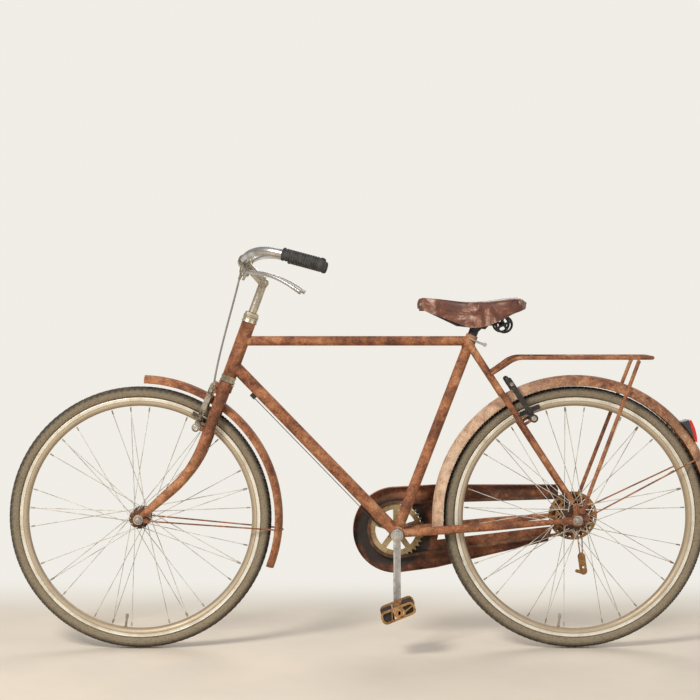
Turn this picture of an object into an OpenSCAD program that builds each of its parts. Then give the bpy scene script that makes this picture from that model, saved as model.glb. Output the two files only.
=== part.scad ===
// Old roadster bicycle: diamond frame, mudguards, rear rack and chain guard.
// Made in millimetres. While it is drawn, X runs rearward from the bottom bracket,
// Y runs to the rider's right and Z runs up from the ground. to_rider() then moves
// the whole machine so that its origin is where the rider sits.

/* [Wheels] */
// Outside diameter of the tyres
wheel_d = 696; // [670:1:710]
// Width of the tyres
tyre_w = 37; // [32:1:40]
// Height of the tyre above the edge of the rim
tyre_h = 30; // [26:1:32]
// Depth of the rim, measured along the radius
rim_h = 28; // [16:1:30]
// Width of the rim
rim_w = 24; // [22:1:26]
// Wall of the rim
rim_wall = 2.4; // [2:0.2:3]
// Spokes in each wheel
spokes = 36; // [28:4:40]
// Diameter of a spoke
spoke_d = 2; // [1.8:0.1:2.3]
// Distance between the two axles
wheelbase = 1149; // [1120:1:1200]

/* [Hubs and axles] */
// Distance between the inner faces of the front dropouts
front_hub_w = 100; // [96:1:106]
// Distance between the inner faces of the rear dropouts
rear_hub_w = 130; // [128:1:136]
// Radius of the circle of spoke holes in the front hub
front_hole_r = 22; // [20:1:26]
// Radius of the circle of spoke holes in the rear hub
rear_hole_r = 27; // [24:1:30]
// Diameter of the front axle
front_axle_d = 9; // [8:0.5:10]
// Diameter of the rear axle
rear_axle_d = 10; // [9:0.5:11]
// Thickness of the dropout plates
dropout_t = 5; // [4:0.5:6]

/* [Frame] */
// Height of the bottom bracket above the ground
bb_height = 307; // [290:1:320]
// Length of the bottom bracket shell
bb_w = 68; // [66:1:73]
// Diameter of the bottom bracket shell
bb_d = 40; // [38:1:44]
// Distance from the bottom bracket to the rear axle
chain_stay_l = 473; // [465:1:490]
// Slope of the seat tube
seat_angle = 69.1; // [68:0.1:71]
// Length of the seat tube
seat_tube_l = 560; // [540:1:580]
// Slope of the steering axis
head_angle = 69.8; // [69:0.1:71]
// Length of the head tube
head_tube_l = 151; // [140:1:170]
// Height of the lower end of the head tube above the ground
head_low = 722; // [715:1:735]
// Height of the top tube's middle line above the ground
top_tube_z = 815; // [800:1:825]
// Height at which the down tube meets the steering axis
down_tube_z = 752; // [745:1:765]
// Diameter of the head tube
head_d = 37; // [35:1:39]
// Diameter of the top tube
top_d = 25.4; // [24:0.2:28]
// Diameter of the down tube
down_d = 31.8; // [28:0.2:33]
// Diameter of the seat tube
seat_d = 28.6; // [28:0.2:30]
// Diameter of the chain stays
chain_stay_d = 22; // [18:1:22]
// Diameter of the seat stays
seat_stay_d = 18; // [16:1:19]
// Wall of the frame tubes
tube_wall = 1.6; // [1.2:0.1:2]

// Diameter of the seat post
post_d = 25; // [24:0.2:25.2]
// Length of the bottom bracket's bearing cups outside the shell
cup_l = 3; // [2:0.5:4]
// Diameter of the crank spindle
spindle_d = 17; // [15:0.5:18]

/* [Fork and steering] */
// Distance of the front axle ahead of the steering axis
rake = 92; // [80:1:96]
// Radius of the bend in the fork blades
fork_bend_r = 300; // [260:1:320]
// Angle through which the fork blades bend
fork_bend_a = 28.5; // [27:0.5:31]
// Diameter of the fork blades at the crown
blade_top_d = 25; // [23:1:26]
// Diameter of the fork blades through the bend
blade_mid_d = 20; // [18:1:22]
// Diameter of the fork blades at the dropouts
blade_low_d = 13; // [12:1:15]
// Distance of each blade from the middle of the crown
blade_y = 40; // [39:0.5:44]
// Diameter of the steerer tube
steerer_d = 28.6; // [28:0.2:30]

/* [Handlebar] */
// Distance that the clamp stands ahead of the bottom bracket
bar_x = 401; // [390:1:410]
// Height of the handlebar above the ground
bar_z = 1022; // [1010:1:1040]
// Diameter of the handlebar
bar_d = 22.2; // [22:0.1:23]
// Diameter of the handlebar in the stem clamp
bar_mid_d = 25.4; // [24:0.1:26]
// Length of a grip
grip_l = 110; // [100:1:125]
// Diameter of a grip
grip_d = 32; // [29:1:35]

/* [Cranks and chain] */
// Teeth on the chainring
ring_teeth = 36; // [36:4:40]
// Teeth on the sprocket that carries the chain
cog_teeth = 24; // [20:4:28]
// Pitch of the chain
chain_pitch = 12.7; // [12.5:0.1:12.9]
// Distance of the chain from the middle of the frame
chain_line = 50.5; // [50:0.5:51]
// Length of the crank
crank_l = 184; // [160:1:190]
// Radius of the round part of the chain guard
guard_r = 115; // [108:1:120]
// Angle at which the pedal hangs
pedal_tilt = 20; // [-30:1:30]

/* [Mudguards, rack and saddle] */
// Gap between the tyre and the inside of a mudguard's crown
guard_gap = 27; // [22:1:30]
// Width of the mudguards
fender_w = 50; // [46:1:51]
// Thickness of the mudguards' sheet
fender_t = 1.2; // [1:0.1:1.6]
// Height of the rack above the ground
rack_z = 772; // [760:1:800]
// Distance from the bottom bracket back to the rear end of the rack
rack_end = 668; // [640:1:700]
// Width of the rack between its rails' middle lines
rack_w = 120; // [100:1:130]
// Diameter of the rack's rods
rack_rod_d = 10; // [8:1:11]
// Length of the saddle
saddle_l = 283; // [270:1:300]
// Width of the saddle
saddle_w = 200; // [180:1:220]
// Height of the saddle's top above the ground
saddle_z = 930; // [915:1:950]

/* [Hidden] */
$fn = 48;

rust = "#9a4f2c";
dark_rust = "#4a2a1c";
silver = "#b9b9b4";
black = "#222222";
tyre_grey = "#6d6a60";

run_gap = 0.05;   // radial clearance of a shaft in its bore
seat_gap = 0.1;   // gap between two pieces that sit on each other
weld_gap = 0.05;  // gap left where one tube is coped round the next

wheel_r = wheel_d / 2;
rim_r = wheel_r - tyre_h;
rim_in_r = rim_r - rim_h;
rear = [sqrt(pow(chain_stay_l, 2) - pow(wheel_r - bb_height, 2)), wheel_r];
front = [rear.x - wheelbase, wheel_r];
bb = [0, bb_height];

// Points and directions in the plane of the frame are [x, z].
function along(a, s) = [s * cos(a), s * sin(a)];
function lift(p, y = 0) = [p.x, y, p.y];
function head_at(z) =
  [front.x + rake / sin(head_angle) + (z - wheel_r) / tan(head_angle), z];
function seat_at(s) = bb + along(seat_angle, s);
function rear_at(a, r) = rear + along(a, r);
function front_at(a, r) = front + along(a, r);
function mix(a, b, t) = a + (b - a) * t;

head_foot = head_at(head_low);
head_top = head_foot + along(head_angle, head_tube_l);
seat_top = seat_at(seat_tube_l);
stay_top_s = seat_tube_l - 24;
cup_low_h = 16;
cup_high_h = 14;
crown_h = 26;

rider = [236, saddle_z - 7];

module to_rider() {
  translate([-rider.x, 0, -rider.y]) children();
}

// Turns a shape drawn along Z to lie along v.
module turn_to(v) {
  rotate([0, acos(v.z / norm(v)), atan2(v.y, v.x)]) children();
}

// A cylinder from point a to point b.
module rod(a, b, d1, d2 = undef) {
  translate(a) turn_to(b - a)
    cylinder(h = norm(b - a), d1 = d1, d2 = is_undef(d2) ? d1 : d2);
}

// A round bar that runs through a list of points, with a ball at each bend. The straight
// stretches stop just inside the balls, so that they never cut each other.
ball_grow = 1.12;
ball_in = 0.12;
module bent_rod(pts, d) {
  n = len(pts) - 1;
  for (i = [0 : n - 1]) {
    u = (pts[i + 1] - pts[i]) / norm(pts[i + 1] - pts[i]);
    rod(pts[i] + (i > 0 ? ball_in * d : 0) * u, pts[i + 1] - (i < n - 1 ? ball_in * d : 0) * u, d);
  }
  for (i = [1 : n - 1]) translate(pts[i]) turn_to(pts[i + 1] - pts[i - 1]) sphere(d = ball_grow * d);
}

// A list of points on the right, joined across the middle to its mirror image on the left.
function across(pts) = concat(
  [for (i = [len(pts) - 1 : -1 : 0]) [pts[i].x, -pts[i].y, pts[i].z]], pts);

// Turns a shape drawn along Z onto the steering axis, at distance s up from the axis' foot.
module on_head(s = 0) {
  translate(lift(head_foot + along(head_angle, s))) rotate([0, 90 - head_angle, 0]) children();
}

// Turns a shape drawn round Z so that it is round a wheel's axle.
module on_axle(p, y = 0) {
  translate(lift(p, y)) rotate([90, 0, 0]) children();
}

// A shape drawn in the plane of the frame, given thickness t to the right of y.
module slab(y, t) {
  translate([0, y + t, 0]) rotate([90, 0, 0]) linear_extrude(t) children();
}

module both_sides() {
  children();
  mirror([0, 1, 0]) children();
}

/* ---- frame ---- */

module head_tube() {
  color(rust) to_rider()
    on_head() difference() {
      cylinder(h = head_tube_l, d = head_d);
      translate([0, 0, -1]) cylinder(h = head_tube_l + 2, d = steerer_d + 3);
    }
}

module headset_cups() {
  bore = steerer_d + 2 * run_gap;
  color("#a59a7a") to_rider() {
    on_head(-cup_low_h - seat_gap) difference() {
      union() {
        cylinder(h = cup_low_h, d1 = head_d - 2, d2 = head_d + 5);
        cylinder(h = 5, d = head_d + 4);
      }
      translate([0, 0, -1]) cylinder(h = cup_low_h + 2, d = bore);
    }
    on_head(head_tube_l + seat_gap) difference() {
      union() {
        cylinder(h = cup_high_h, d1 = head_d + 5, d2 = head_d - 3);
        translate([0, 0, cup_high_h - 5]) cylinder(h = 5, d = head_d + 3);
      }
      translate([0, 0, -1]) cylinder(h = cup_high_h + 2, d = bore);
    }
  }
}

// The solid outsides of the tubes that others are coped to.
module head_outer(gap) {
  on_head(-5) cylinder(h = head_tube_l + 10, d = head_d + 2 * gap);
}
module seat_outer(gap) {
  rod(lift(bb), lift(seat_top + along(seat_angle, 5)), seat_d + 2 * gap);
  rod(lift(seat_top - along(seat_angle, lug_l)), lift(seat_top + along(seat_angle, 5)),
      seat_d + lug_grow + 2 * gap);
}
module bb_outer(gap) {
  l = bb_w / 2 + chain_stay_d;
  on_axle(bb, l) cylinder(h = 2 * l, d = bb_d + 2 * gap);
}
lug_l = 40;     // length of the seat lug round the top of the seat tube
lug_grow = 3;   // how much wider the lug is than the tube

module top_tube() {
  a = lift(head_at(top_tube_z));
  b = lift(seat_at((top_tube_z - bb_height) / sin(seat_angle)));
  color(rust) to_rider() difference() {
    rod(a, b, top_d);
    rod(a - [1, 0, 0], b + [1, 0, 0], top_d - 2 * tube_wall);
    head_outer(weld_gap);
    seat_outer(weld_gap);
  }
}

module down_tube() {
  a = lift(head_at(down_tube_z));
  u = (lift(bb) - a) / norm(lift(bb) - a);
  color(rust) to_rider() difference() {
    rod(a, lift(bb), down_d);
    rod(a - u, lift(bb) + u, down_d - 2 * tube_wall);
    head_outer(weld_gap);
    seat_outer(weld_gap);
    bb_outer(weld_gap);
  }
}

module seat_tube() {
  color(rust) to_rider() difference() {
    union() {
      rod(lift(bb), lift(seat_top), seat_d);
      rod(lift(seat_top - along(seat_angle, lug_l)), lift(seat_top), seat_d + lug_grow);
    }
    rod(lift(seat_at(2)), lift(seat_top + along(seat_angle, 2)), post_d + 2 * seat_gap);
    bb_outer(weld_gap);
  }
}

module bottom_bracket() {
  color(rust) to_rider() on_axle(bb, bb_w / 2 + cup_l)
    difference() {
      union() {
        translate([0, 0, cup_l]) cylinder(h = bb_w, d = bb_d);
        cylinder(h = bb_w + 2 * cup_l, d = bb_d - 5);
      }
      translate([0, 0, -1]) cylinder(h = bb_w + 2 * cup_l + 2, d = spindle_d + 2 * run_gap);
    }
}

// Lines of the stays: side positions of their middle lines, and where they end.
stay_bb_y = 25.5;
stay_end_y = rear_hub_w / 2 + dropout_t / 2;
stay_end = mix(bb, rear, 0.92);
knee = mix(bb, stay_end, 0.6);
function stay_y(x) = mix(stay_bb_y, stay_end_y, x / stay_end.x);
seat_stay_y = (seat_d + lug_grow + seat_stay_d) / 2 + 0.5;
seat_stay_top = seat_at(seat_tube_l - 34) + [9, 0];
seat_stay_low = rear + [-4, 36];
function seat_stay_at(t) = lift(mix(seat_stay_top, seat_stay_low, t), mix(seat_stay_y, stay_end_y, t));

// Share of the way from p to q at which a line first comes within r of c.
function share_at_r(p, q, c, r) =
  let (d = q - p, f = p - c, a = d * d, b = 2 * (f * d), k = f * f - r * r)
  (-b - sqrt(b * b - 4 * a * k)) / (2 * a);

// A flat bar of width w between two points of the frame's plane, with round ends.
module bar2d(a, b, w) {
  v = b - a;
  translate(a) rotate(atan2(v.y, v.x)) {
    translate([0, -w / 2]) square([norm(v), w]);
    circle(d = w);
    translate([norm(v), 0]) circle(d = w);
  }
}

leg_eye = rear + [12, 24];
guard_eye = rear + [21, 6];

module dropout_plate(grow = 0) {
  bar2d(rear, stay_end, 18 + 2 * grow);
  bar2d(rear, seat_stay_low, 16 + 2 * grow);
  translate(rear) circle(r = 17 + grow);
  translate(leg_eye) circle(r = 7 + grow);
  translate(guard_eye) circle(r = 7 + grow);
}

module chain_stay() {
  difference() {
    union() {
      rod(lift(bb, stay_bb_y), lift(knee, stay_y(knee.x)), chain_stay_d);
      rod(lift(knee, stay_y(knee.x)), lift(stay_end, stay_end_y), chain_stay_d, 12);
      slab(rear_hub_w / 2, dropout_t) dropout_plate();
    }
    translate(lift(rear, 0)) rotate([-90, 0, 0]) cylinder(h = rear_hub_w, d = rear_axle_d + 2 * seat_gap);
    bb_outer(weld_gap);
  }
}

module chain_stay_right() {
  color(rust) to_rider() chain_stay();
}

module chain_stay_left() {
  color(rust) to_rider() mirror([0, 1, 0]) chain_stay();
}

// The rear brake turns on a stud that stands off the back of the seat stay.
brake_pivot_r = rim_r - 34;
brake_off = 34;
stud_d = 8;
rear_pivot_t = share_at_r(seat_stay_top, seat_stay_low, rear, brake_pivot_r);
rear_pivot_root = seat_stay_at(rear_pivot_t);
seat_stay_a = atan2(seat_stay_low.y - seat_stay_top.y, seat_stay_low.x - seat_stay_top.x);
rear_pivot = rear_pivot_root + brake_off * [cos(seat_stay_a + 90), 0, sin(seat_stay_a + 90)];

module seat_stay() {
  difference() {
    union() {
      rod(seat_stay_at(0), seat_stay_at(0.97), seat_stay_d, 13);
      translate(seat_stay_at(0)) sphere(d = ball_grow * seat_stay_d);
      rod(rear_pivot_root, rear_pivot, stud_d);
    }
    slab(rear_hub_w / 2 - weld_gap, dropout_t + 2 * weld_gap) dropout_plate(weld_gap);
  }
}

module seat_stay_right() {
  color(rust) to_rider() seat_stay();
}

module seat_stay_left() {
  color(rust) to_rider() mirror([0, 1, 0]) seat_stay();
}

fender_r = wheel_r + guard_gap + fender_t;
skirt_r = fender_r - fender_w / 2;
bridge_d = 12;
bridge_low = mix(bb, rear, (rear.x - fender_r - bridge_d) / rear.x);
bridge_high_t = share_at_r(seat_stay_top, seat_stay_low, rear, fender_r + bridge_d / 2 + 1);

// Two short tubes that tie the stays together in front of the wheel.
module frame_bridges() {
  y_low = stay_y(bridge_low.x);
  p = seat_stay_at(bridge_high_t);
  color(rust) to_rider() difference() {
    union() {
      rod(lift(bridge_low, -y_low), lift(bridge_low, y_low), bridge_d);
      rod([p.x, -p.y, p.z], p, bridge_d);
    }
    both_sides() {
      rod(lift(bb, stay_bb_y), lift(knee, stay_y(knee.x)), chain_stay_d + 2 * weld_gap);
      rod(seat_stay_at(0), seat_stay_at(0.97), seat_stay_d + 2 * weld_gap, 13 + 2 * weld_gap);
    }
  }
}

/* ---- saddle ---- */

post_top = seat_top + along(seat_angle, 25);
saddle_x = 54;
rail_d = 7;
saddle_wall = 5;
clamp_w = 60;

coil_r = 19;
coil_wire = 6;
coil = [post_top.x + 56, 38, post_top.y + 6];

// The middle lines of one of the two rails, from the nose to the coil.
rail = [
  [saddle_x + 20, 9, saddle_z - 32],
  [saddle_x + 105, 22, post_top.y + 4],
  [post_top.x + 22, 24, post_top.y - 4],
  [coil.x - coil_r - coil_wire / 2 - 3.3, coil.y + 1, coil.z]
];

module seat_post() {
  color(black) to_rider() {
    difference() {
      union() {
        rod(lift(seat_top - along(seat_angle, 90)), lift(post_top), post_d);
        translate(lift(post_top, -clamp_w / 2)) rotate([-90, 0, 0]) cylinder(h = clamp_w, d = 28);
      }
      both_sides() bent_rod(rail, rail_d + 2 * seat_gap);
    }
    translate(lift(post_top, -clamp_w / 2 - 9)) rotate([-90, 0, 0]) cylinder(h = 8.9, d = 16, $fn = 6);
    translate(lift(post_top, clamp_w / 2 + 0.1)) rotate([-90, 0, 0]) cylinder(h = 8.9, d = 16, $fn = 6);
  }
}

// Outline of the saddle seen from above: round nose, narrow waist and two round hips.
saddle_nose = 24;
saddle_hip = 52;
saddle_waist = [[saddle_x + 110, 34], [saddle_x + 165, 66]];
function arc_pts(c, r, a0, a1, n = 10) = [for (i = [0 : n]) c + along(a0 + (a1 - a0) * i / n, r)];
function saddle_side(inset) = concat(
  arc_pts([saddle_x + saddle_nose, 0], saddle_nose - inset, 180, 95),
  [for (p = saddle_waist) p - [0, inset]],
  arc_pts([saddle_x + saddle_l - saddle_hip, saddle_w / 2 - saddle_hip], saddle_hip - inset, 115, 0)
);
module saddle_plan(inset = 0) {
  side = saddle_side(inset);
  n = len(side);
  polygon(concat(side, [for (i = [n - 1 : -1 : 1]) [side[i].x, -side[i].y]]));
}

// Height of the saddle's top and of its lower edge along its length.
saddle_top = [[0, -13], [4, -4], [16, -1], [50, -3], [125, -12], [190, -9], [240, -2], [262, 0],
              [saddle_l - 8, -5], [saddle_l, -16]];
saddle_edge = [[saddle_l, -30], [saddle_l - 26, -39], [205, -62], [175, -78], [138, -81],
               [76, -58], [26, -38], [0, -30]];
function saddle_pts(list, drop = 0) = [for (p = list) [saddle_x + p.x, saddle_z + p.y - drop]];

module saddle_hollow(gap = 0) {
  intersection() {
    translate([0, 0, saddle_z - 150]) linear_extrude(160) saddle_plan(saddle_wall + gap);
    slab(-saddle_w, 2 * saddle_w)
      polygon(concat(saddle_pts(saddle_top, saddle_wall + gap),
                     [[saddle_x + saddle_l, saddle_z - 140], [saddle_x, saddle_z - 140]]));
  }
}

module saddle() {
  color("#6b3a24") to_rider() difference() {
    intersection() {
      translate([0, 0, saddle_z - 120]) linear_extrude(130) saddle_plan();
      slab(-saddle_w, 2 * saddle_w)
        polygon(concat(saddle_pts(saddle_top), saddle_pts(saddle_edge)));
    }
    saddle_hollow();
  }
}

// The two rails, with the nose piece and the cantle plate that hold up the leather.
module saddle_frame() {
  cantle = [coil.x + 30, 62, saddle_z - 34];
  color(black) to_rider() {
    union() {
      both_sides() {
        bent_rod(rail, rail_d);
        bent_rod([coil + [0, 12, coil_r + coil_wire + 0.3], coil + [16, 18, coil_r + 9], cantle],
                 coil_wire);
      }
      intersection() {
        saddle_hollow(0.3);
        translate([saddle_x, -30, saddle_z - 36]) cube([26, 60, 24]);
      }
    }
    intersection() {
      saddle_hollow(0.3);
      translate([cantle.x - 4, -saddle_w / 2, saddle_z - 31]) cube([14, saddle_w, 19]);
    }
  }
}

// Each rail ends in a coil that lies across the saddle.
module saddle_springs() {
  color(black) to_rider() both_sides()
    for (i = [0 : 2])
      translate(coil + [0, i * (coil_wire + 0.1), 0]) rotate([90, 0, 0]) rotate_extrude()
        translate([coil_r, 0]) circle(d = coil_wire);
}

/* ---- mudguards ---- */

// A half-round mudguard over a wheel, from angle a0 to a1 measured from straight back.
module fender(p, a0, a1) {
  on_axle(p) rotate(a0) rotate_extrude(angle = a1 - a0) difference() {
    translate([skirt_r, 0]) circle(d = fender_w);
    translate([skirt_r, 0]) circle(d = fender_w - 2 * fender_t);
    translate([skirt_r - fender_w, -fender_w]) square([fender_w, 2 * fender_w]);
  }
}

// The half hoop of a stay that goes round the outside of a mudguard at angle a.
stay_rod_d = 4;
hoop_r = fender_w / 2 + stay_rod_d / 2 + seat_gap;
module fender_hoop(p, a) {
  translate(lift(p)) rotate([0, -a, 0]) translate([skirt_r, 0, 0])
    rotate([0, 0, -90]) rotate_extrude(angle = 180) translate([hoop_r, 0]) circle(d = stay_rod_d);
}

front_fender_a = [-21, 90];
rear_fender_a = [-2, 185];
crown_share = share_at_r(head_foot, head_at(0), front, fender_r);
crown_tab = mix(head_foot, head_at(0), crown_share);

module rear_fender() {
  color(rust) to_rider() fender(rear, rear_fender_a[0], rear_fender_a[1]);
}

module front_fender() {
  tab_h = norm(crown_tab - head_foot) - (cup_low_h + 3 * seat_gap + crown_h);
  color(rust) to_rider() {
    union() {
      fender(front, front_fender_a[0], front_fender_a[1]);
      intersection() {
        translate(lift(crown_tab)) rotate([0, 90 - head_angle, 0])
          translate([0, 0, -8]) cylinder(h = tab_h + 8 - seat_gap, d = 10);
        difference() {
          on_axle(front, 20) cylinder(h = 40, r = fender_r + 60);
          on_axle(front, 21) cylinder(h = 42, r = fender_r - fender_t / 2);
        }
      }
    }
  }
}

// One side of a stay, from an eye on the dropout to the skirt of the mudguard.
module fender_stay(p, eye, y, a) {
  foot = [eye.x, y + stay_rod_d / 2 + 1.5, eye.y];
  top = lift(p + along(a, skirt_r), hoop_r);
  rod(foot, mix(foot, top, 1 - ball_in * stay_rod_d / norm(top - foot)), stay_rod_d);
  translate(top) turn_to(top - foot) sphere(d = ball_grow * stay_rod_d);
  translate([foot.x, y + seat_gap, foot.z]) rotate([-90, 0, 0]) cylinder(h = stay_rod_d + 2, d = 11);
}

front_eye = front + [18, -3];
front_stay_a = -5;
rear_stay_a = 26;

module rear_fender_stays() {
  color(rust) to_rider() union() {
    both_sides() fender_stay(rear, guard_eye, rear_hub_w / 2 + dropout_t, rear_stay_a);
    fender_hoop(rear, rear_stay_a);
  }
}

module front_fender_stays() {
  color(rust) to_rider() union() {
    both_sides() fender_stay(front, front_eye, front_hub_w / 2 + dropout_t, front_stay_a);
    fender_hoop(front, front_stay_a);
  }
}

/* ---- rack ---- */

rack_y = rack_w / 2;
rack_bend_x = seat_stay_at(0.16).x + 78;
rack_foot_t = 0.17;

module rear_rack() {
  p = seat_stay_at(rack_foot_t);
  foot = [p.x + 3, p.y + (seat_stay_d + rack_rod_d) / 2 + seat_gap, p.z];
  color(rust) to_rider() union() {
    bent_rod(across([
      [rack_end, rack_y - 12, rack_z], [rack_end - 12, rack_y, rack_z], [rack_bend_x, rack_y, rack_z],
      [rack_bend_x - 16, rack_y, rack_z - 8],
      [foot.x + 18, mix(foot.y, rack_y, 0.2), foot.z + 12], foot
    ]), rack_rod_d);
    for (k = [0.12, 0.5, 0.88])
      rod([mix(rack_bend_x, rack_end, k), -rack_y, rack_z],
          [mix(rack_bend_x, rack_end, k), rack_y, rack_z], rack_rod_d * 0.7);
  }
}

module rack_legs() {
  y_eye = rear_hub_w / 2 + dropout_t + rack_rod_d / 2 + seat_gap;
  top = [mix(rack_bend_x, rack_end, 0.89), rack_y + 1, rack_z - rack_rod_d * (1 + ball_grow) / 2 - seat_gap];
  color(rust) to_rider() both_sides() union() {
    rod([leg_eye.x, y_eye + 1, leg_eye.y], top, rack_rod_d);
    translate([leg_eye.x, y_eye - rack_rod_d / 2, leg_eye.y]) rotate([-90, 0, 0])
      cylinder(h = rack_rod_d, d = 14);
    translate(top) turn_to(top - [leg_eye.x, y_eye, leg_eye.y]) sphere(d = ball_grow * rack_rod_d);
  }
}

/* ---- brakes ---- */

brake_arm_l = 120;
brake_arm_t = 10;
pad_l = 56;
pad_gap = 5;

// A brake arm on a stud at p, drawn for the right side. It leans at angle a and its pad
// stands beside the rim of the wheel whose axle is at hub.
module brake_arm(p, a, hub) {
  y = p.y;
  root = [p.x, p.z];
  tip = root + along(a, brake_arm_l);
  pad_c = hub + (root - hub) * ((rim_r - 9) / norm(root - hub));
  pad_a = atan2(pad_c.y - hub.y, pad_c.x - hub.x);
  pad_on_arm = root + along(a, norm(pad_c - root));
  difference() {
    union() {
      slab(y - brake_arm_t / 2, brake_arm_t) bar2d(root, tip, 14);
      slab(y - brake_arm_t / 2, brake_arm_t) circle_at(root, 11);
      slab(y - brake_arm_t / 2, brake_arm_t) circle_at(pad_on_arm, 10);
      rod(lift(pad_on_arm, rim_w / 2 + pad_gap + 8), lift(pad_on_arm, y + 13), 8);
      translate(lift(pad_c, rim_w / 2 + pad_gap)) rotate([0, -pad_a, 0])
        translate([-5.5, 0, -pad_l / 2]) cube([11, 10, pad_l]);
      translate(lift(pad_on_arm, y + 7)) sphere(d = 13);
    }
    children();
  }
}
module circle_at(p, r) {
  translate(p) circle(r = r);
}

// The wire that crosses from one arm's tip to the other.
module brake_wire(tip, y) {
  rod([tip.x, -y, tip.y], [tip.x, y, tip.y], 3);
}

rear_arm_a = 180 + seat_stay_a;
rear_arm_y = rear_pivot.y;
rear_arm_tip = [rear_pivot.x, rear_pivot.z] + along(rear_arm_a, brake_arm_l);

module rear_brake() {
  color(silver) to_rider() {
    both_sides() difference() {
      brake_arm(rear_pivot, rear_arm_a, rear)
        rod(rear_pivot_root, rear_pivot_root + 1.3 * (rear_pivot - rear_pivot_root), stud_d + 2 * seat_gap);
      rod(seat_stay_at(0), seat_stay_at(1), seat_stay_d + 2 * weld_gap, 13 + 2 * weld_gap);
      brake_wire(rear_arm_tip, rear_arm_y + 9);
    }
    brake_wire(rear_arm_tip, rear_arm_y + 8);
  }
}

/* ---- light ---- */

light_h = 64;
light_w = 42;
light_lean = 16;

// Turns a shape drawn facing +X, on the middle of the lens, to its place behind the saddle.
module on_light() {
  translate(lift(rear_at(36, fender_r + 16.5))) rotate([0, -light_lean, 0]) children();
}

// What the mudguard and the space under it take away from the light.
module guard_room() {
  on_axle(rear, 40) cylinder(h = 80, r = fender_r + seat_gap, $fn = 360);
}

module rear_light() {
  color("#3a3a3a") to_rider() difference() {
    on_light() translate([-36, -light_w / 2, -light_h / 2]) cube([25, light_w, light_h]);
    guard_room();
  }
}

module rear_light_lens() {
  color("#b02018") to_rider() difference() {
    on_light() intersection() {
      translate([-11 + seat_gap, 2 - light_w / 2, 2 - light_h / 2]) cube([14, light_w - 4, light_h - 4]);
      translate([-119, 0, 0]) sphere(r = 120, $fn = 120);
    }
    guard_room();
  }
}

/* ---- chain and its guard ---- */

function pitch_r(n) = chain_pitch / (2 * sin(180 / n));

// Toothed outline of a sprocket: a flat-topped tooth between two round-bottomed gaps.
function tooth_pts(n, i) =
  let (s = 360 / n, root = pitch_r(n) - 4.1, tip = pitch_r(n) + 3.2)
  [along(s * (i + 0.18), root), along(s * (i + 0.26), pitch_r(n) - 2.6),
   along(s * (i + 0.42), tip), along(s * (i + 0.58), tip),
   along(s * (i + 0.74), pitch_r(n) - 2.6), along(s * (i + 0.82), root)];
module sprocket2d(n) {
  polygon([for (i = [0 : n - 1]) each tooth_pts(n, i)]);
}

// Closed outline of a belt round the chainring and the sprocket, grown by g.
span_a = atan2(rear.y - bb.y, rear.x - bb.x);
function belt_pts(g, r1 = pitch_r(ring_teeth), r2 = pitch_r(cog_teeth), n = 16) =
  let (b = acos((r1 - r2) / norm(rear - bb)))
  concat([for (i = [0 : n]) bb + along(span_a + b + (360 - 2 * b) * i / n, r1 + g)],
         [for (i = [0 : n]) rear + along(span_a - b + 2 * b * i / n, r2 + g)]);

link_h = 8.4;
link_t = 1.1;
link_in = 1.9;

// Side plates of the chain, tied together by the rollers of its two straight runs.
module chain() {
  b = acos((pitch_r(ring_teeth) - pitch_r(cog_teeth)) / norm(rear - bb));
  color(dark_rust) to_rider() union() {
    for (y = [chain_line + link_in, chain_line - link_in - link_t])
      slab(y, link_t) difference() {
        polygon(belt_pts(link_h / 2));
        polygon(belt_pts(-link_h / 2));
      }
    for (k = [-1, 1]) for (i = [4 : 2 : 30]) {
      p = mix(bb + along(span_a + k * b, pitch_r(ring_teeth)),
              rear + along(span_a + k * b, pitch_r(cog_teeth)), i / 37);
      rod(lift(p, chain_line - link_in - link_t / 2), lift(p, chain_line + link_in + link_t / 2), 5);
    }
  }
}

guard_y = chain_line + 9;      // inner face of the guard's outer plate
guard_t = 1.2;
guard_lip = 17;                // width of the lip that is turned in over the chain
guard_web_x = 106;             // rear edge of the part that fills the space between the arms
guard_tail_x = 436;
guard_hole_r = 70;

// Outline of one arm of the guard. Its edges run between these heights above the bracket.
guard_top = [[0, guard_r], [guard_web_x, 121], [guard_tail_x, 121]];
guard_arm_low = [[guard_tail_x, 81], [guard_web_x, 71]];
guard_arm_high = [[guard_web_x, -29], [guard_tail_x - 14, 8]];
guard_base = [[guard_tail_x - 26, -29], [guard_web_x, -101], [0, -guard_r]];

module guard_plate() {
  difference() {
    union() {
      translate(bb) circle(r = guard_r);
      translate(bb) polygon(concat(guard_top, guard_arm_low, guard_arm_high, guard_base));
    }
    translate(bb) circle(r = guard_hole_r);
  }
}

// The lip follows the guard's outer edge: round the front, then along both arms.
module guard_lip2d() {
  difference() {
    translate(bb) circle(r = guard_r);
    translate(bb) circle(r = guard_r - guard_t);
    translate(bb + [0, -guard_r - 1]) square([guard_r + 2, 2 * guard_r + 2]);
  }
  translate(bb) {
    polygon(concat(guard_top, [for (i = [2 : -1 : 0]) guard_top[i] - [0, guard_t]]));
    polygon(concat(guard_base, [for (i = [2 : -1 : 0]) guard_base[i] + [0, guard_t]]));
  }
}

module chain_case() {
  foot = mix(bb, rear, 0.2);
  color(rust) to_rider() difference() {
    union() {
      slab(guard_y, guard_t) guard_plate();
      slab(guard_y - guard_lip, guard_lip + guard_t / 2) guard_lip2d();
      rod(lift(foot, stay_y(foot.x)), lift(foot, guard_y + guard_t / 2), 9);
    }
    rod(lift(bb, stay_bb_y), lift(stay_end, stay_end_y), chain_stay_d + 2 * seat_gap);
    rod(seat_stay_at(0.5), seat_stay_at(1), seat_stay_d + 2 * seat_gap);
  }
}

/* ---- rear axle, derailleur and gear cable ---- */

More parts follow.
